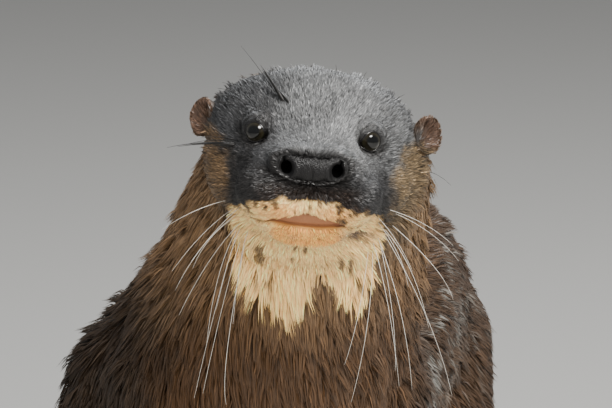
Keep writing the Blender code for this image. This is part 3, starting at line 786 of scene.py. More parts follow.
def layLips(lay, at):
    # The pale lips, chin and throat, with the bare rim of the lips and the dark flecks.
    across, up, x, z, middle, fine = at.across, at.up, at.x, at.z, at.middle, at.fine
    side = np.abs(across)
    facing = (at.deep < 85) & (at.head + at.neck + at.trunk > 0.4) & (at.past < 150)
    low = (up < -8) & (at.behind < 62) & facing
    lipTop = -13.0 - 0.0068 * across ** 2 + 0.9 * fine + 1.0 * at.ragged + 1.0 * middle \
        + 1.2 * middle * ease(8, 20, side)
    band = fade(-1.1, 1.1, up - lipTop) * fade(27, 31, side + 1.5 * middle)
    band *= 1 - ease(-17.6, -15.6, at.rise + 1.5 * middle + fine) * ease(20, 25, np.abs(at.level + middle))
    lay("cream", band * low * (up > mouthLine(across) - 12))
    lay("lip", band * low * ease(-28, -20, up) * fade(-17, -14.5, up) * bump(side, 11, 7) * 0.9)
    bottom = np.interp(x, throatForm["across"], throatForm["bottom"])
    edges = np.minimum(np.minimum(x + 33.5, 28.5 - x), z - bottom)
    patch = ease(-1.4, 1.4, edges + 2.2 * middle + 1.6 * fine) * (z < -24) * facing
    lay("cream", patch)
    lay("mottle", patch * ease(10, 17, side) * ease(-41, -36, up + 1.5 * middle) * fade(-30, -27, up)
        * fade(24, 28, side) * (0.55 + 0.35 * np.sign(across) + 0.6 * fine))
    lay("chin", low * ease(-37, -33, up) * fade(11, 17, side) * (up < mouthLine(across)) * 0.85)
    lay("mottle", low * bump(up, -30.5, 1.4) * bump(across, -5.0, 2.4) * 0.5)
    for spotAcross, spotUp, spotSize in flecks:
        away = np.hypot(x - spotAcross + 0.7 * at.ragged, (z - spotUp) * 0.68) / spotSize
        lay("fleck", fade(0.6, 1.3, away + 0.55 * fine) * facing * (z < -11) * 0.8)
    bare = ease(-1.0, 0.8, lipPeak(across) - up + 0.5 * middle) * ease(-0.9, 0.0, up - mouthLine(across)) \
        * fade(13.5, 18, side)
    lay("bareLip", bare * low * 0.92)
    lay("underNose", bare * low * bump(across, 0, 2.2) * ease(-22.5, -20, up) * 0.45)
    lay("fleck", low * bump(up - mouthLine(across), 0, 0.4) * (0.3 + 0.5 * ease(12, 16, side))
        * fade(24, 28, side))
    lay("underNose", low * bump(across, 0, 0.5) * ease(-20, -18, up) * fade(-15, -13, up) * 0.45)


def layEars(lay, at):
    # painted shade: the cup's forward-facing hollow darker
    cup = ease(0.1, 0.6, -(at.normals @ turnArray)[:, 1])
    lay("ear", at.ear * (0.85 + 0.15 * at.fine))
    lay("earCup", at.ear * cup * 0.7)


def coatColour(places, normals, shares):
    colour = np.zeros((len(places), 3))

    def lay(name, share):
        share = np.clip(share, 0, 1)[:, None]
        colour[:] = colour * (1 - share) + np.array(paint[name]) * share

    at = markingPlaces(places, normals, shares)
    for layMarking in (layBody, layShine, layMask, layLids, layLips, layEars):
        layMarking(lay, at)
    return colour * (1 + 0.10 * at.middle + 0.08 * at.fine)[:, None]


def storeColour(data, colours):
    layer = data.color_attributes.new("coat", "FLOAT_COLOR", "POINT")
    full = np.ones((len(colours), 4), np.float32)
    full[:, :3] = np.clip(colours, 0, 1)
    layer.data.foreach_set("color", full.ravel())


def makeFurMaterial(name, roughness, gloss):
    material, shader, nodes, links = shaderOf(name, roughness, gloss)
    colour = nodes.new("ShaderNodeVertexColor")
    colour.layer_name = "coat"
    links.new(colour.outputs["Color"], shader.inputs["Base Color"])
    return material


skinShares = groupShares(skin.data, 10)
skinPlaces = readPoints(skin.data)
skinNormals = readNormals(skin.data)
storeColour(skin.data, coatColour(skinPlaces, skinNormals, skinShares) * 0.62)      # darker than the hair
underCoat = makeFurMaterial("skinUnderCoat", 0.6, 0.5)
addRelief(underCoat, "ShaderNodeTexNoise", "Fac", 900.0, 0.6, 0.0004)[0].inputs["Detail"].default_value = 3.0
skin.data.materials.append(underCoat)
print("skin painted")

# the coat: tufts that follow the lie of the hair
# lengths in millimetres and turns in degrees, except patch, which is a share of the UV square;
# raised and silver are shares of the tufts, silver ones getting painted highlights toward their tips; apart
# is a share of their spacing, and reach is in clump sizes
coatForm = {"tufts": 482000, "pieceTufts": 65000, "sink": 0.35, "roll": 26.0, "patch": 0.003,
            "wander": (13.0, 7.0, 6.0), "raised": 0.10, "apart": 0.2, "reach": 1.2, "silver": 0.22}
# how many times the tufts cover the skin; then their length and the size of a wet clump in millimetres
coatCover = {"head": 4.6, "neck": 5.6, "trunk": 4.6, "tail": 3.4, "thigh": 3.4, "shin": 2.6, "foot": 1.7,
             "ear": 4.0}
tuftLength = {"head": 3.5, "neck": 12.0, "trunk": 12.5, "tail": 9.0, "thigh": 10.0, "shin": 6.5, "foot": 3.2,
              "ear": 3.2}
clumpSize = {"head": 2.2, "neck": 4.6, "trunk": 5.0, "tail": 4.0, "thigh": 4.5, "shin": 3.0, "foot": 1.8,
             "ear": 1.5}


def fromEyes():
    # How far out from the nearer eye each point of the skin lies, in millimetres.
    eyes = np.full(len(skinPlaces), 99.0)
    for name in sides:
        ahead, reach = aroundEye(toHead(skinPlaces), name)[2:]
        eyes = np.minimum(eyes, np.where(ahead > -8, reach, 99))
    return eyes


def coatLength(eyes):
    across, behind, up, past = headPlaces(skinPlaces)
    head = shareOf(skinShares, "head")
    onFace = 1.9 + 1.5 * ease(12, 45, behind) + 2.2 * ease(50, 95, behind) + 4.0 * ease(-50, 10, past)
    onFace += 2.2 * fade(-40, -30, up) * ease(8, 30, behind)
    onFace *= 0.42 + 0.58 * ease(6.0, 13.0, eyes)
    onLips = 1.7 + 1.4 * ease(8, 26, np.abs(across)) + 0.12 * np.maximum(-30 - up, 0)
    onFace = np.where((up < -9) & (behind < 40), np.minimum(onFace, onLips), onFace)
    beyond = ease(-20, 40, past)
    return byGroup(skinShares, tuftLength) * (1 - head) + (onFace * (1 - beyond) + 12.0 * beyond) * head


def coatLie():
    # Which way the hair lies: out from the nose on the head, back and down on the body.
    local, facing = toHead(skinPlaces), skinNormals
    front = ease(0.15, 0.85, -facing[:, 1])
    none = 0 * front
    fromEar = local - np.stack([np.sign(local[:, 0]) * 40, none + 80, none - 8], 1)
    ways = {"head": normalised(local - (0, 5.0, -5.0)) @ turnArray.T,
            "neck": np.stack([none, 0.55 + 0.5 * facing[:, 1], none - 1], 1),
            "trunk": np.stack([none, 1 - 0.95 * front, -0.22 - 0.25 * np.abs(facing[:, 0]) - front], 1),
            "tail": (0.0, 1.0, -0.35), "thigh": (0.0, 0.5, -1.0), "shin": (0.0, 0.12, -1.0),
            "foot": (0.0, -1.0, -0.3), "ear": normalised(fromEar) @ turnArray.T}
    lie = np.zeros_like(skinPlaces)
    for k, name in enumerate(groupNames):
        lie += normalised(np.array(ways[name])) * skinShares[:, k:k + 1]
    lie = evenOut(lie, readEdges(skin.data), 6)
    return normalised(lie - (lie * facing).sum(1, keepdims=True) * facing)


def coatRise():
    # How high the tips stand, out to the walls of the frame.
    rise = np.array([walls.find_nearest(Vector(place))[3] for place in skinPlaces]) / mm
    return np.clip(rise, 0.3, 6.0)


eyeReach = fromEyes()
fields = {"length": coatLength(eyeReach), "lie": coatLie(), "rise": coatRise(), "eyes": eyeReach}
print("lie of the coat set")


def tuftWidth(length):
    return np.clip(0.24 + 0.032 * length, 0.30, 0.62)


def tuftsWanted(length, groups):
    # How many tufts a square millimetre needs to be covered.
    return byGroup(groups, coatCover) / (0.55 * length * tuftWidth(length))


def sampleRoots():
    data = skin.data
    data.calc_loop_triangles()
    corners = readAll(data.loop_triangles, "vertices", 3, np.int32)
    a, b, c = (skinPlaces[corners[:, k]] / mm for k in range(3))
    area = np.linalg.norm(np.cross(b - a, c - a), axis=1) / 2
    middle = skinPlaces[corners].mean(1)
    density = tuftsWanted(fields["length"][corners].mean(1), skinShares[corners].mean(1))
    across, behind, up = headPlaces(middle)[:3]
    side = np.abs(across)
    # bare places: eyes, nose, lips, the cups of the ears and the soles
    eyes = fields["eyes"][corners].mean(1)
    bare = eyes < eyeForm["halfWide"] + eyeForm["bare"]
    bare |= (fromPad(across, up, -0.3) < 1.0) & (behind < 9)
    bare |= (lipPeak(across) > up - 0.3) & (up > mouthLine(across) - 0.9) & (side < 15.5) & (behind < 30)
    normal = skinNormals[corners].mean(1)
    bare |= (normal[:, 2] < -0.6) & (middle[:, 2] < 0.006)
    density = np.where(bare, 0, density)
    inEar = (shareOf(skinShares, "ear")[corners].mean(1) > 0.5) & ((normal @ turnArray)[:, 1] < -0.2)
    density = np.where(inEar, density * 0.5, density)
    weight = np.cumsum(area * density)
    count = coatForm["tufts"]
    print("coat wants", int(weight[-1]), "tufts, gets", count)
    at = (np.arange(count) + chance.random(count)) / count * weight[-1]
    chosen = np.minimum(np.searchsorted(weight, at), len(weight) - 1)
    first, second = chance.random(count), chance.random(count)
    over = first + second > 1
    first, second = np.where(over, 1 - first, first), np.where(over, 1 - second, second)
    shares = np.stack([1 - first - second, first, second], 1)

    def blend(values):
        values = values.reshape(len(values), -1)
        return np.einsum("ij,ijk->ik", shares, values[corners[chosen]])

    return blend


def wander(place, normal, way):
    # The lie wanders a little, in broad waves, in narrow ones and hair by hair.
    broad, narrow, single = coatForm["wander"]
    turn = broad * noise(place, 0.016, 21) + narrow * noise(place, 0.005, 22)
    turn = np.radians(turn + single * chance.standard_normal(len(place)))[:, None]
    way = normalised(way - (way * normal).sum(1, keepdims=True) * normal)
    return way * np.cos(turn) + np.cross(normal, way) * np.sin(turn)


def gatherTips(place, tip, length, groups):
    # Wet hair draws together into points: each tip moves toward the tip of the nearest leading tuft.
    size, head = byGroup(groups, clumpSize), shareOf(groups, "head")
    together = size ** 2 * np.maximum(tuftsWanted(length, groups), 0.05)
    leads = np.nonzero(chance.random(len(place)) < np.clip(1.0 / together, 0.01, 0.5))[0]
    tree = kdtree.KDTree(len(leads))
    for k, index in enumerate(leads):
        tree.insert(place[index], k)
    tree.balance()
    nearest = leads[[tree.find(point)[1] for point in place]]
    pull = (0.46 + 0.28 * (1 - head)) * (0.75 + 0.25 * noise(place, 0.03, 24))
    raised = (chance.random(len(place)) < coatForm["raised"])[nearest]
    lift = (0.75 + 0.5 * head) * raised * (1 - shareOf(groups, "foot"))
    away = place - place[nearest]
    gathered = tip[nearest] + away * coatForm["apart"]
    reachable = np.linalg.norm(away, axis=1) < coatForm["reach"] * size * mm
    return np.where(reachable[:, None], tip + (gathered - tip) * pull[:, None], tip), lift


def standTips(place, tip, rise, lift, length, groups):
    # Tips follow the form, and stand about as high as the frame's walls.
    skinTree = BVHTree.FromObject(skin, bpy.context.evaluated_depsgraph_get())
    landed, landedNormal = np.empty_like(tip), np.empty_like(tip)
    for k, point in enumerate(tip):
        landed[k], landedNormal[k] = skinTree.find_nearest(point)[:2]
    stand = rise * (0.6 + 0.5 * chance.random(len(place))) * (1 + 0.25 * noise(place, 0.012, 25)) * (1 + lift)
    stand = np.minimum(stand * (1 - 0.3 * shareOf(groups, "tail")), 0.6 * length)
    return landed + landedNormal * stand[:, None] * mm, landedNormal, stand


def tuftShapes(place, normal, tip, tipNormal, stand, length):
    # Five points a tuft: two sunk in the skin, two where it is widest, and the tip.
    chord = tip - place
    bend = np.linalg.norm(tipNormal - normal, axis=1) * length / 8
    middle = place + chord * 0.45 + normalised(normal + tipNormal) * ((0.22 * stand + bend) * mm)[:, None]
    width = tuftWidth(length) * (0.8 + 0.4 * chance.random(len(place)))
    roll = np.radians(coatForm["roll"]) * chance.standard_normal(len(place))[:, None]
    flat = normalised(np.cross(normalised(chord), normal))
    flat = normalised(flat * np.cos(roll) + normal * np.sin(roll))
    half = flat * (width / 2 * mm)[:, None]
    foot = place - normal * coatForm["sink"] * mm * np.minimum(1, length / 4)[:, None]
    points = np.stack([foot - half * 0.85, foot + half * 0.85, middle - half, middle + half, tip], 1)
    points[:, :, 2] = np.maximum(points[:, :, 2], 0.0001)      # nothing goes under the floor
    return points


def growTufts():
    blend = sampleRoots()
    place, normal = blend(skinPlaces), normalised(blend(skinNormals))
    way, length = blend(fields["lie"]), blend(fields["length"])[:, 0]
    rise, groups = blend(fields["rise"])[:, 0], blend(skinShares)
    way = wander(place, normal, way)
    length = length * (0.72 + 0.5 * chance.random(len(place))) * (1 + 0.18 * noise(place, 0.02, 23))
    tip, lift = gatherTips(place, place + way * length[:, None] * mm, length, groups)
    tip, tipNormal, stand = standTips(place, tip, rise, lift, length, groups)
    return {"points": tuftShapes(place, normal, tip, tipNormal, stand, length),
            "colour": coatColour(place, normal, groups),
            "place": place, "normal": normal, "groups": groups}


tufts = growTufts()
print("tufts grown", len(tufts["place"]))

tuftFaces = ((0, 1, 3), (0, 3, 2), (2, 3, 4))
tuftPatch = ((-0.5, -0.5), (0.5, -0.5), (-0.5, 0), (0.5, 0), (0, 0.5))
tuftTone = (0.62, 0.62, 1.0, 1.0, 1.2)      # two points at the root, two in the middle and the tip
# painted highlight along a silver tuft: none at the root, most at the tip
tuftShine = (0, 0, 0.3, 0.3, 0.5)


def unwrapRoots(place, normal, groups):
    # Each part of the body is laid flat from six sides, and the flat shapes are packed in one square.
    part = groups.argmax(1) * 4 + (place[:, 0] > 0.0) * 2 + (place[:, 1] > -0.2)
    axis = np.abs(normal).argmax(1)
    toward = np.take_along_axis(normal, axis[:, None], 1)[:, 0] > 0
    chart = part * 6 + axis * 2 + toward
    flat = np.where((axis == 0)[:, None], place[:, [1, 2]],
                    np.where((axis == 1)[:, None], place[:, [0, 2]], place[:, [0, 1]]))
    low, high = {}, {}
    for key in np.unique(chart):
        inside = flat[chart == key]
        low[key], high[key] = inside.min(0) - 0.002, inside.max(0) + 0.002
    keys = sorted(low, key=lambda key: -(high[key] - low[key])[1])
    wide = 1.15 * math.sqrt(sum(float(np.prod(high[key] - low[key])) for key in keys))
    wide = max(wide, max((high[key] - low[key])[0] for key in keys))
    spots, x, y, shelf = np.zeros((len(place), 2)), 0.0, 0.0, 0.0
    for key in keys:
        size = high[key] - low[key]
        if x + size[0] > wide:
            x, y, shelf = 0.0, y + shelf, 0.0
        chosen = chart == key
        spots[chosen] = flat[chosen] - low[key] + (x, y)
        x, shelf = x + size[0], max(shelf, size[1])
    return 0.004 + 0.992 * spots / max(wide, y + shelf)


coatMaterial = makeFurMaterial("wetFur", 0.42, 0.42)


def makeCoatPiece(name, chosen):
    count = len(chosen)
    data = bpy.data.meshes.new(name)
    points = tufts["points"][chosen].reshape(-1, 3)
    faces = np.arange(count)[:, None, None] * len(tuftPatch) + np.array(tuftFaces)[None]
    faces = faces.reshape(-1, 3).astype(np.int32)
    data.vertices.add(len(points))
    data.vertices.foreach_set("co", points.astype(np.float32).ravel())
    data.loops.add(faces.size)
    data.loops.foreach_set("vertex_index", faces.ravel())
    data.polygons.add(len(faces))
    data.polygons.foreach_set("loop_start", np.arange(len(faces), dtype=np.int32) * 3)
    data.update(calc_edges=True)
    head = tufts["groups"][chosen, 0]
    pale = ease(0.25, 0.6, tufts["colour"][chosen].mean(1))
    tone = np.exp((0.17 + 0.30 * head) * (1 - 0.6 * pale) * chance.standard_normal(count) - 0.04 * head)
    base = tufts["colour"][chosen] * tone[:, None]
    # painted highlights: a share of the tufts grow brighter toward their tips
    silver = chance.random(count) < coatForm["silver"]
    along = np.array(tuftTone)
    even = 0.7 * pale + 0.45 * (1 - pale) * (1 - head)
    colours = base[:, None, :] * (along + (1 - along) * even[:, None])[:, :, None]
    lit = silver[:, None] * np.array(tuftShine)[None]
    colours = colours * (1 + lit[:, :, None])
    storeColour(data, colours.reshape(-1, 3))
    # each tuft is a small patch at its root's place on the unwrap of the skin
    patch = np.array(tuftPatch) * coatForm["patch"]
    spots = unwrapRoots(tufts["place"][chosen], tufts["normal"][chosen], tufts["groups"][chosen])
    spots = np.clip(spots[:, None] + patch[None], 0, 1).reshape(-1, 2)
    layer = data.uv_layers.new(name="OFBake")
    layer.data.foreach_set("uv", spots[faces.ravel()].astype(np.float32).ravel())
    thing = addThing(name, data)
    finishSurface(thing, coatMaterial)
    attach(thing, "root")
    return thing


coatSlots = {"coatFace": "face_fur", "coatCrown": "face_fur", "coatNeck": "neck_fur", "coatTrunk": "body_fur",
             "coatTail": "body_fur", "coatLegs": "body_fur"}


def splitCoat():
    place = tufts["place"]
    behind = headPlaces(place)[1]
    along, height = place[:, 1] / mm, place[:, 2] / mm
    main = np.array(groupNames)[tufts["groups"].argmax(1)]
    region = np.full(len(place), "coatLegs", "U9")
    region[main == "trunk"] = "coatTrunk"
    region[(main == "neck") | ((main == "trunk") & (along < -300))] = "coatNeck"
    region[main == "tail"] = "coatTail"
    region[(main == "head") | (main == "ear")] = "coatCrown"
    region[(main == "head") & (behind < 42)] = "coatFace"
    pieces = []
    for name, slot in coatSlots.items():
        chosen = np.nonzero(region == name)[0]
        # a large region is cut into bands along the body
        bands = math.ceil(len(chosen) / coatForm["pieceTufts"])
        slant = 0.8 if name == "coatNeck" else 0.0
        order = chosen[np.argsort(along[chosen] - height[chosen] * slant, kind="stable")]
        for k, band in enumerate(np.array_split(order, bands)):
            pieces.append(makeCoatPiece(f"{name}{k + 1}" if bands > 1 else name, band))
    return pieces


coatPieces = splitCoat()
print("coat made", [(piece.name, len(piece.data.polygons)) for piece in coatPieces])

# eyes: the iris's bulge, and its colours from the middle of the pupil out, as shares of the ball's radius
irisForm = {"bulge": 0.45, "edge": (2.2, 4.3), "stops": ((0.0, (0.002, 0.002, 0.002)),
            (0.38, (0.002, 0.002, 0.002)), (0.43, (0.006, 0.005, 0.003)), (0.54, (0.013, 0.0105, 0.0055)),
            (0.65, (0.016, 0.0145, 0.0085)), (0.71, (0.004, 0.004, 0.003)), (0.78, (0.008, 0.007, 0.006)))}


def makeEyeMaterial():
    material, shader, nodes, links = shaderOf("eyeBall", 0.04, 0.6)
    ring = nodes.new("ShaderNodeAttribute")
    ring.attribute_name = "ring"
    ramp = nodes.new("ShaderNodeValToRGB")
    stops = ramp.color_ramp.elements
    while len(stops) < len(irisForm["stops"]):
        stops.new(0.5)
    for stop, (place, colour) in zip(stops, irisForm["stops"]):
        stop.position = place
        stop.color = (*colour, 1)
    links.new(ring.outputs["Fac"], ramp.inputs["Fac"])
    links.new(ramp.outputs["Color"], shader.inputs["Base Color"])
    return material


eyeMaterial = makeEyeMaterial()
rimMaterial = plainMaterial("wetLid", (0.008, 0.007, 0.007), 0.25)


def inEyeAxes(points, side):
    centre, gaze, outward, rise = eyeAxes(side)
    return fromHead(centre + points[:, :1] * outward + points[:, 1:2] * rise + points[:, 2:] * gaze)


def makeEye(side):
    deselectAll()
    bpy.ops.mesh.primitive_uv_sphere_add(segments=64, ring_count=48, radius=eyeForm["radius"])
    ball = bpy.context.object
    ball.name = ball.data.name = "eyeBall_" + side
    points = readPoints(ball.data)
    reach = np.hypot(points[:, 0], points[:, 1])
    ahead = points[:, 2] > 0
    points[:, 2] += irisForm["bulge"] * fade(*irisForm["edge"], reach) * ahead
    ring = ball.data.attributes.new("ring", "FLOAT", "POINT")
    turn = np.arctan2(points[:, 1], points[:, 0])
    streak = 0.25 * noise(np.stack([turn * 4, reach * 0.4, reach * 0], 1), 0.35, 41)
    inIris = bump(reach, 2.9, 0.9)
    ring.data.foreach_set("value", (np.where(ahead, reach + streak * inIris, 6) / 6).astype(np.float32))
    writePoints(ball.data, inEyeAxes(points, side))
    finishSurface(ball, eyeMaterial)
    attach(ball, "root")
    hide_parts("eye_" + side)


# the wet bare edge of the lids: out from the opening's edge, and height over the ball
lidProfile = ((-0.5, -0.4), (-0.4, 0.06), (-0.22, 0.3), (0.0, 0.42), (0.25, 0.42), (0.55, 0.3), (0.9, -0.1),
              (1.2, -0.6))


def makeLidEdge(side):
    around = 96
    angle = circleAngles(around)
    opening = openingAt(angle)
    points = []
    for out, over in lidProfile:
        reach = opening + out
        wide = np.minimum(reach, 5.25)
        height = np.sqrt(eyeForm["radius"] ** 2 - wide ** 2) - 1.2 * (reach - wide) + over
        height = height + np.where(out < 0, irisForm["bulge"] * fade(*irisForm["edge"], wide), 0)
        points.append(np.stack([reach * np.cos(angle), reach * np.sin(angle), height], 1))
    points = np.concatenate(points)
    rim = meshFrom("lidEdge_" + side, inEyeAxes(points, side), ringFaces(len(lidProfile), around))
    finishSurface(rim, rimMaterial)
    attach(rim, "root")


for side in sides:
    makeEye(side)
    makeLidEdge(side)
print("eyes made")

# nose: a bare dark pad with comma-shaped nostrils
noseForm = {"depth": 12.2, "nostrilAcross": 10.5, "nostrilUp": -0.8, "nostril": 3.2, "slitAcross": 12.2,
            "slitUp": 4.6, "pit": 6.0}


def fromNostril(across, up):
    side = np.abs(across)
    hole = np.hypot((side - noseForm["nostrilAcross"]) * 1.02, (up - noseForm["nostrilUp"]) * 0.86) \
        - noseForm["nostril"]
    start = np.array((noseForm["nostrilAcross"] + 0.9, noseForm["nostrilUp"] + 1.0))
    stretch = np.array((noseForm["slitAcross"], noseForm["slitUp"])) - start
    t = np.clip(((side - start[0]) * stretch[0] + (up - start[1]) * stretch[1]) / (stretch @ stretch), 0, 1)
    slit = np.hypot(side - start[0] - t * stretch[0], up - start[1] - t * stretch[1]) - (1.5 - 0.9 * t)
    return np.minimum(hole, slit)


def makeNoseMaterial():
    material, shader, nodes, links = shaderOf("nosePadSkin", 0.5, 0.34)
    deepness = nodes.new("ShaderNodeAttribute")
    deepness.attribute_name = "pit"
    # painted shade: deep in the nostrils the pad's colour darkens to near black
    mix = nodes.new("ShaderNodeMix")
    mix.data_type = "RGBA"
    mix.inputs[6].default_value = (0.007, 0.0065, 0.0065, 1)
    mix.inputs[7].default_value = (0.001, 0.001, 0.001, 1)
    dull = nodes.new("ShaderNodeMapRange")
    dull.inputs["To Min"].default_value = 0.38
    dull.inputs["To Max"].default_value = 0.95
    links.new(deepness.outputs["Fac"], mix.inputs[0])
    links.new(mix.outputs[2], shader.inputs["Base Color"])
    links.new(deepness.outputs["Fac"], dull.inputs["Value"])
    links.new(dull.outputs["Result"], shader.inputs["Roughness"])
    addRelief(material, "ShaderNodeTexVoronoi", "Distance", 1900.0, 0.5, 0.0005)[1].invert = True
    return material


def noseShape(ball):
    # A ball's points moved to the pad's shape, and how deep in a nostril each one lies.
    across, up = (np.sign(v) * np.abs(v) ** 0.8 for v in (ball[:, 0], ball[:, 1]))
    along = -ball[:, 2]
    x, z = across * (padForm["halfWide"] + 0.3), up * padHigh(across, up, 0.3)
    spread = np.minimum(fromPad(x, z), 1.05)
    y = padForm["crown"] * spread ** 3 + padLevel(x, z)
    y = np.where(along < 0, y, y + along * (noseForm["depth"] - 2.5))
    away = fromNostril(x, z)
    front = along < 0.02
    inside = fade(-2.9, 0.4, away) * (1 - 0.55 * ease(1.5, 5.5, z)) * fade(0.93, 1.0, spread)
    outer = ease(6, 11, np.abs(x)) * ease(-1, 3, -z)
    brim = (0.3 + 0.4 * outer) * bump(away, 1.1, 0.8) * fade(0.9, 1.0, spread)
    y += front * (noseForm["pit"] * inside - brim)
    y += front * 0.55 * bump(x, 0, 0.8) * ease(-2, 2.5, -z)             # the furrow down its middle
    y += front * 0.5 * bump(np.abs(x), 5.2, 1.6) * bump(z, -4.6, 2.0)
    return np.stack([x, y, z], 1), ease(0.05, 0.38, inside) * front


def makeNose():
    deselectAll()
    bpy.ops.mesh.primitive_uv_sphere_add(segments=240, ring_count=140, radius=1.0)
    nose = bpy.context.object
    nose.name = nose.data.name = "nosePad"
    points, depth = noseShape(readPoints(nose.data))
    pit = nose.data.attributes.new("pit", "FLOAT", "POINT")
    pit.data.foreach_set("value", depth.astype(np.float32))
    writePoints(nose.data, fromHead(points))
    editMesh(nose.data, lambda mesh: bmesh.ops.recalc_face_normals(mesh, faces=mesh.faces[:]))
    finishSurface(nose, makeNoseMaterial())
    # painted shade: faces deep in the nostrils get a near-black material without gloss
    nose.data.materials.append(plainMaterial("nostril", (0.0012, 0.0011, 0.0011), 1.0, 0.0))
    for face in nose.data.polygons:
        face.material_index = int(min(depth[index] for index in face.vertices) > 0.8)
    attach(nose, "root")
    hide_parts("nose")


makeNose()
print("nose made")

# claws: short, dark, rounded from the frame's own
clawMaterial = plainMaterial("claw", (0.10, 0.075, 0.055), 0.35)
for side in sides:
    for foot in ("fore", "hind"):
        names = [f"claw_{foot}_{side}_{k}" for k in range(1, 6)]
        claws = joinAll([copyOfNode(name) for name in names], f"claws_{foot}_{side}")
        bpy.ops.object.mode_set(mode="EDIT")
        bpy.ops.mesh.select_all(action="SELECT")
        bpy.ops.mesh.remove_doubles(threshold=0.00001)
        bpy.ops.mesh.normals_make_consistent(inside=False)
        bpy.ops.object.mode_set(mode="OBJECT")
        rounded = claws.modifiers.new("rounded", "SUBSURF")
        rounded.levels = rounded.render_levels = 2
        applyAll(claws)
        finishSurface(claws, clawMaterial)
        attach(claws, "root")
        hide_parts(*names)
print("claws made")

# whiskers and long hairs: thin tapered tubes
# each whisker's root, middle and tip: across and up from the nose as seen from the front, in millimetres
whiskerForm = {
    "thick": 0.145, "tip": 0.05, "sides": 5, "steps": 18,
    "right": (
        (-35.0, -12.3, -49.0, -17.0, -62.6, -24.7), (-31.7, -15.2, -45.0, -26.0, -58.4, -42.0),
        (-30.5, -17.7, -41.0, -26.5, -50.6, -38.3), (-29.6, -21.4, -43.0, -38.0, -55.6, -60.5),
        (-30.9, -26.7, -37.9, -48.1, -49.4, -95.5), (-29.6, -28.0, -37.0, -55.0, -45.7, -93.4),
        (-28.0, -29.6, -35.4, -75.0, -35.8, -98.0), (-29.2, -14.4, -45.0, -31.0, -57.0, -50.0),
        (-29.8, -23.7, -34.5, -36.5, -40.0, -58.0), (-26.5, -25.0, -29.8, -38.0, -33.0, -64.0),
        (-33.0, -20.0, -43.0, -29.0, -50.0, -41.0), (-31.0, -24.0, -39.0, -44.0, -44.0, -72.0)),
    "left": (
        (33.3, -17.3, 49.0, -25.9, 61.5, -37.9), (32.9, -22.2, 51.0, -40.0, 59.3, -54.3),
        (27.2, -21.0, 36.0, -35.0, 40.3, -48.6), (26.9, -25.9, 37.0, -58.5, 42.0, -91.8),
        (30.0, -26.0, 48.0, -61.0, 58.8, -94.2), (24.9, -28.0, 31.5, -54.3, 36.6, -90.5),
        (25.5, -30.0, 23.5, -62.5, 16.5, -97.0), (24.0, -30.5, 19.8, -58.5, 13.6, -81.5),
        (31.0, -16.0, 47.0, -22.5, 59.0, -31.5), (29.0, -23.0, 41.0, -41.0, 49.0, -66.0),
        (28.0, -28.0, 33.5, -58.0, 35.0, -84.0), (27.0, -19.0, 35.0, -29.0, 42.0, -42.0))}
# the long wet dark hairs and locks: root and tip in the same way, the droop, and the radius at the root
darkForm = {
    "right": (
        (-11.0, 27.5, -21.5, 44.0, 0.5, 1.05), (-12.0, 28.6, -21.0, 42.5, 0.6, 0.85),
        (-8.5, 27.0, -17.5, 37.0, 0.5, 0.75), (-31.0, 10.4, -56.0, 9.9, 1.0, 0.80),
        (-14.0, 30.5, -29.6, 52.0, 0.8, 0.16), (-31.0, 11.2, -60.5, 9.5, 1.2, 0.46),
        (-32.0, 11.8, -52.0, 11.0, 1.2, 0.34), (-31.5, 12.6, -46.5, 13.6, 0.8, 0.30),
        (-33.0, 10.0, -47.0, 9.4, 0.6, 0.32), (-29.0, 31.0, -39.5, 34.5, 0.8, 0.42),
        (-30.5, 29.0, -40.5, 32.0, 0.8, 0.36), (-28.0, 33.0, -37.5, 37.0, 0.6, 0.32),
        (-31.5, 26.5, -41.5, 29.0, 0.8, 0.34), (-23.0, 24.5, -23.8, 31.0, 0.2, 0.15),
        (-20.5, 24.8, -19.5, 31.0, 0.2, 0.14), (-34.0, -8.0, -43.0, -12.0, 1.0, 0.14)),
    "left": (
        (24.0, 21.5, 27.0, 28.5, 0.2, 0.15), (26.5, 21.0, 31.0, 27.0, 0.2, 0.14),
        (40.0, 1.0, 51.0, -3.0, 1.0, 0.17), (47.0, 0.0, 58.8, -6.2, 1.4, 0.15),
        (38.0, 10.0, 50.0, 9.0, 1.0, 0.18), (37.0, 8.0, 47.5, 5.5, 1.0, 0.16),
        (11.0, 38.5, 10.0, 44.5, 0.2, 0.15), (20.0, 36.0, 23.0, 41.5, 0.2, 0.15),
        (33.0, 28.0, 39.0, 32.0, 0.4, 0.2))}
skinTree = BVHTree.FromObject(skin, bpy.context.evaluated_depsgraph_get())


def tubePoints(path, radii, around):
    # Rings of points along a path, and its faces, closed at both ends.
    steps = len(path)
    heading = normalised(np.gradient(path, axis=0))
    helper = np.array((0.31, 0.83, 0.46))
    first = normalised(np.cross(heading, helper))
    second = np.cross(heading, first)
    angle = circleAngles(around)
    ring = first[:, None] * np.cos(angle)[None, :, None] + second[:, None] * np.sin(angle)[None, :, None]
    points = (path[:, None] + ring * np.asarray(radii)[:, None, None]).reshape(-1, 3)
    faces = ringFaces(steps, around)
    faces.append(tuple(reversed(range(around))))
    faces.append(tuple((steps - 1) * around + k for k in range(around)))
    return points, faces


def makeHairs(name, hairs, material):
    # hairs: paths in the head's axes with a radius at root and tip, all in millimetres
    points, faces = [], []
    for path, thick, fine in hairs:
        t = np.linspace(0, 1, len(path))
        place, quads = tubePoints(path, thick + (fine - thick) * t ** 0.8, whiskerForm["sides"])
        start = sum(len(part) for part in points)
        points.append(place)
        faces.extend(tuple(start + k for k in face) for face in quads)
    thing = meshFrom(name, fromHead(np.concatenate(points)), faces)
    finishSurface(thing, material)
    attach(thing, "root")


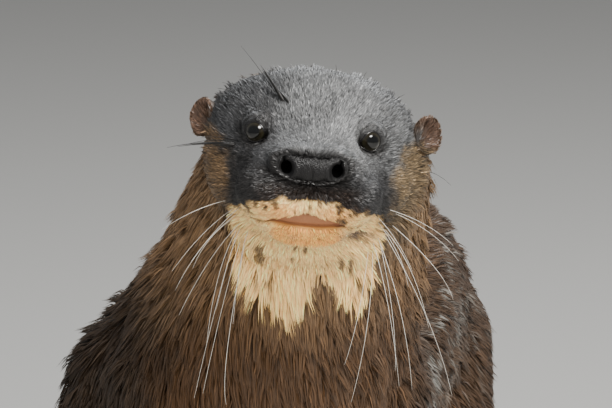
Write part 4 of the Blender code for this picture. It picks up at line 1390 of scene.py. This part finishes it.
def rayToSkin(across, up):
    # The first skin met going back from before the face.
    start = noseFront + (cameraRight * across + cameraUp * up) * mm + cameraBack * 0.1
    hit = skinTree.ray_cast(start, -cameraBack)[0]
    return None if hit is None else np.array(hit)


def frontPoint(across, up, deep):
    return noseArray + (viewRight * across + viewUp * up - viewBack * deep) * mm


def whiskerPath(places, forward):
    # A smooth arc through the root, the middle and the tip, a little before the skin all along.
    x0, z0, x1, z1, x2, z2 = places
    root = rayToSkin(x0, z0)
    deep = frontPlaces(root[None])[2][0] if root is not None else 40.0
    t = np.linspace(0, 1, whiskerForm["steps"])
    first, second, third = (1 - t) * (1 - 2 * t), 4 * t * (1 - t), t * (2 * t - 1)
    x, z = first * x0 + second * x1 + third * x2, first * z0 + second * z1 + third * z2
    depths = deep + 0.8 - (forward * np.sin(t * math.pi * 0.75) + 0.8)
    return toHead(np.array([frontPoint(*place) for place in zip(x, z, depths)]))


def hairPath(places):
    # A hair or lock that lies on the coat at its root and leaves it toward the tip.
    x0, z0, x1, z1, droop = places
    root = rayToSkin(x0, z0)
    deep = frontPlaces(root[None])[2][0] if root is not None else 60.0
    t = np.linspace(0, 1, 10)
    x, z = x0 + (x1 - x0) * t, z0 + (z1 - z0) * t + droop * 4 * t * (1 - t)
    path = []
    for k, place in enumerate(zip(x, z)):
        hit = rayToSkin(*place)
        if hit is not None:
            deep = min(deep + 1.5, float(frontPlaces(hit[None])[2][0]))
        path.append(frontPoint(*place, deep - (2.8 + 0.8 * t[k]) * min(1, 4 * t[k])))
    return toHead(np.array(path))


whiskerMaterial = plainMaterial("whisker", (0.74, 0.71, 0.64), 0.3)
darkHair = plainMaterial("darkHair", (0.012, 0.011, 0.010), 0.38, 0.3)
for side in sides:
    hairs = []
    for places in whiskerForm[side]:
        hairs.append((whiskerPath(places, 7.0 + 4.0 * chance.random()),
                      whiskerForm["thick"] * (0.75 + 0.4 * chance.random()), whiskerForm["tip"]))
    makeHairs("whiskers_" + side, hairs, whiskerMaterial)
    dark = [(hairPath(places[:5]), places[5], 0.05) for places in darkForm[side]]
    makeHairs("darkHairs_" + side, dark, darkHair)
print("whiskers made")

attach(skin, "root")
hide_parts(*fleshNodes)
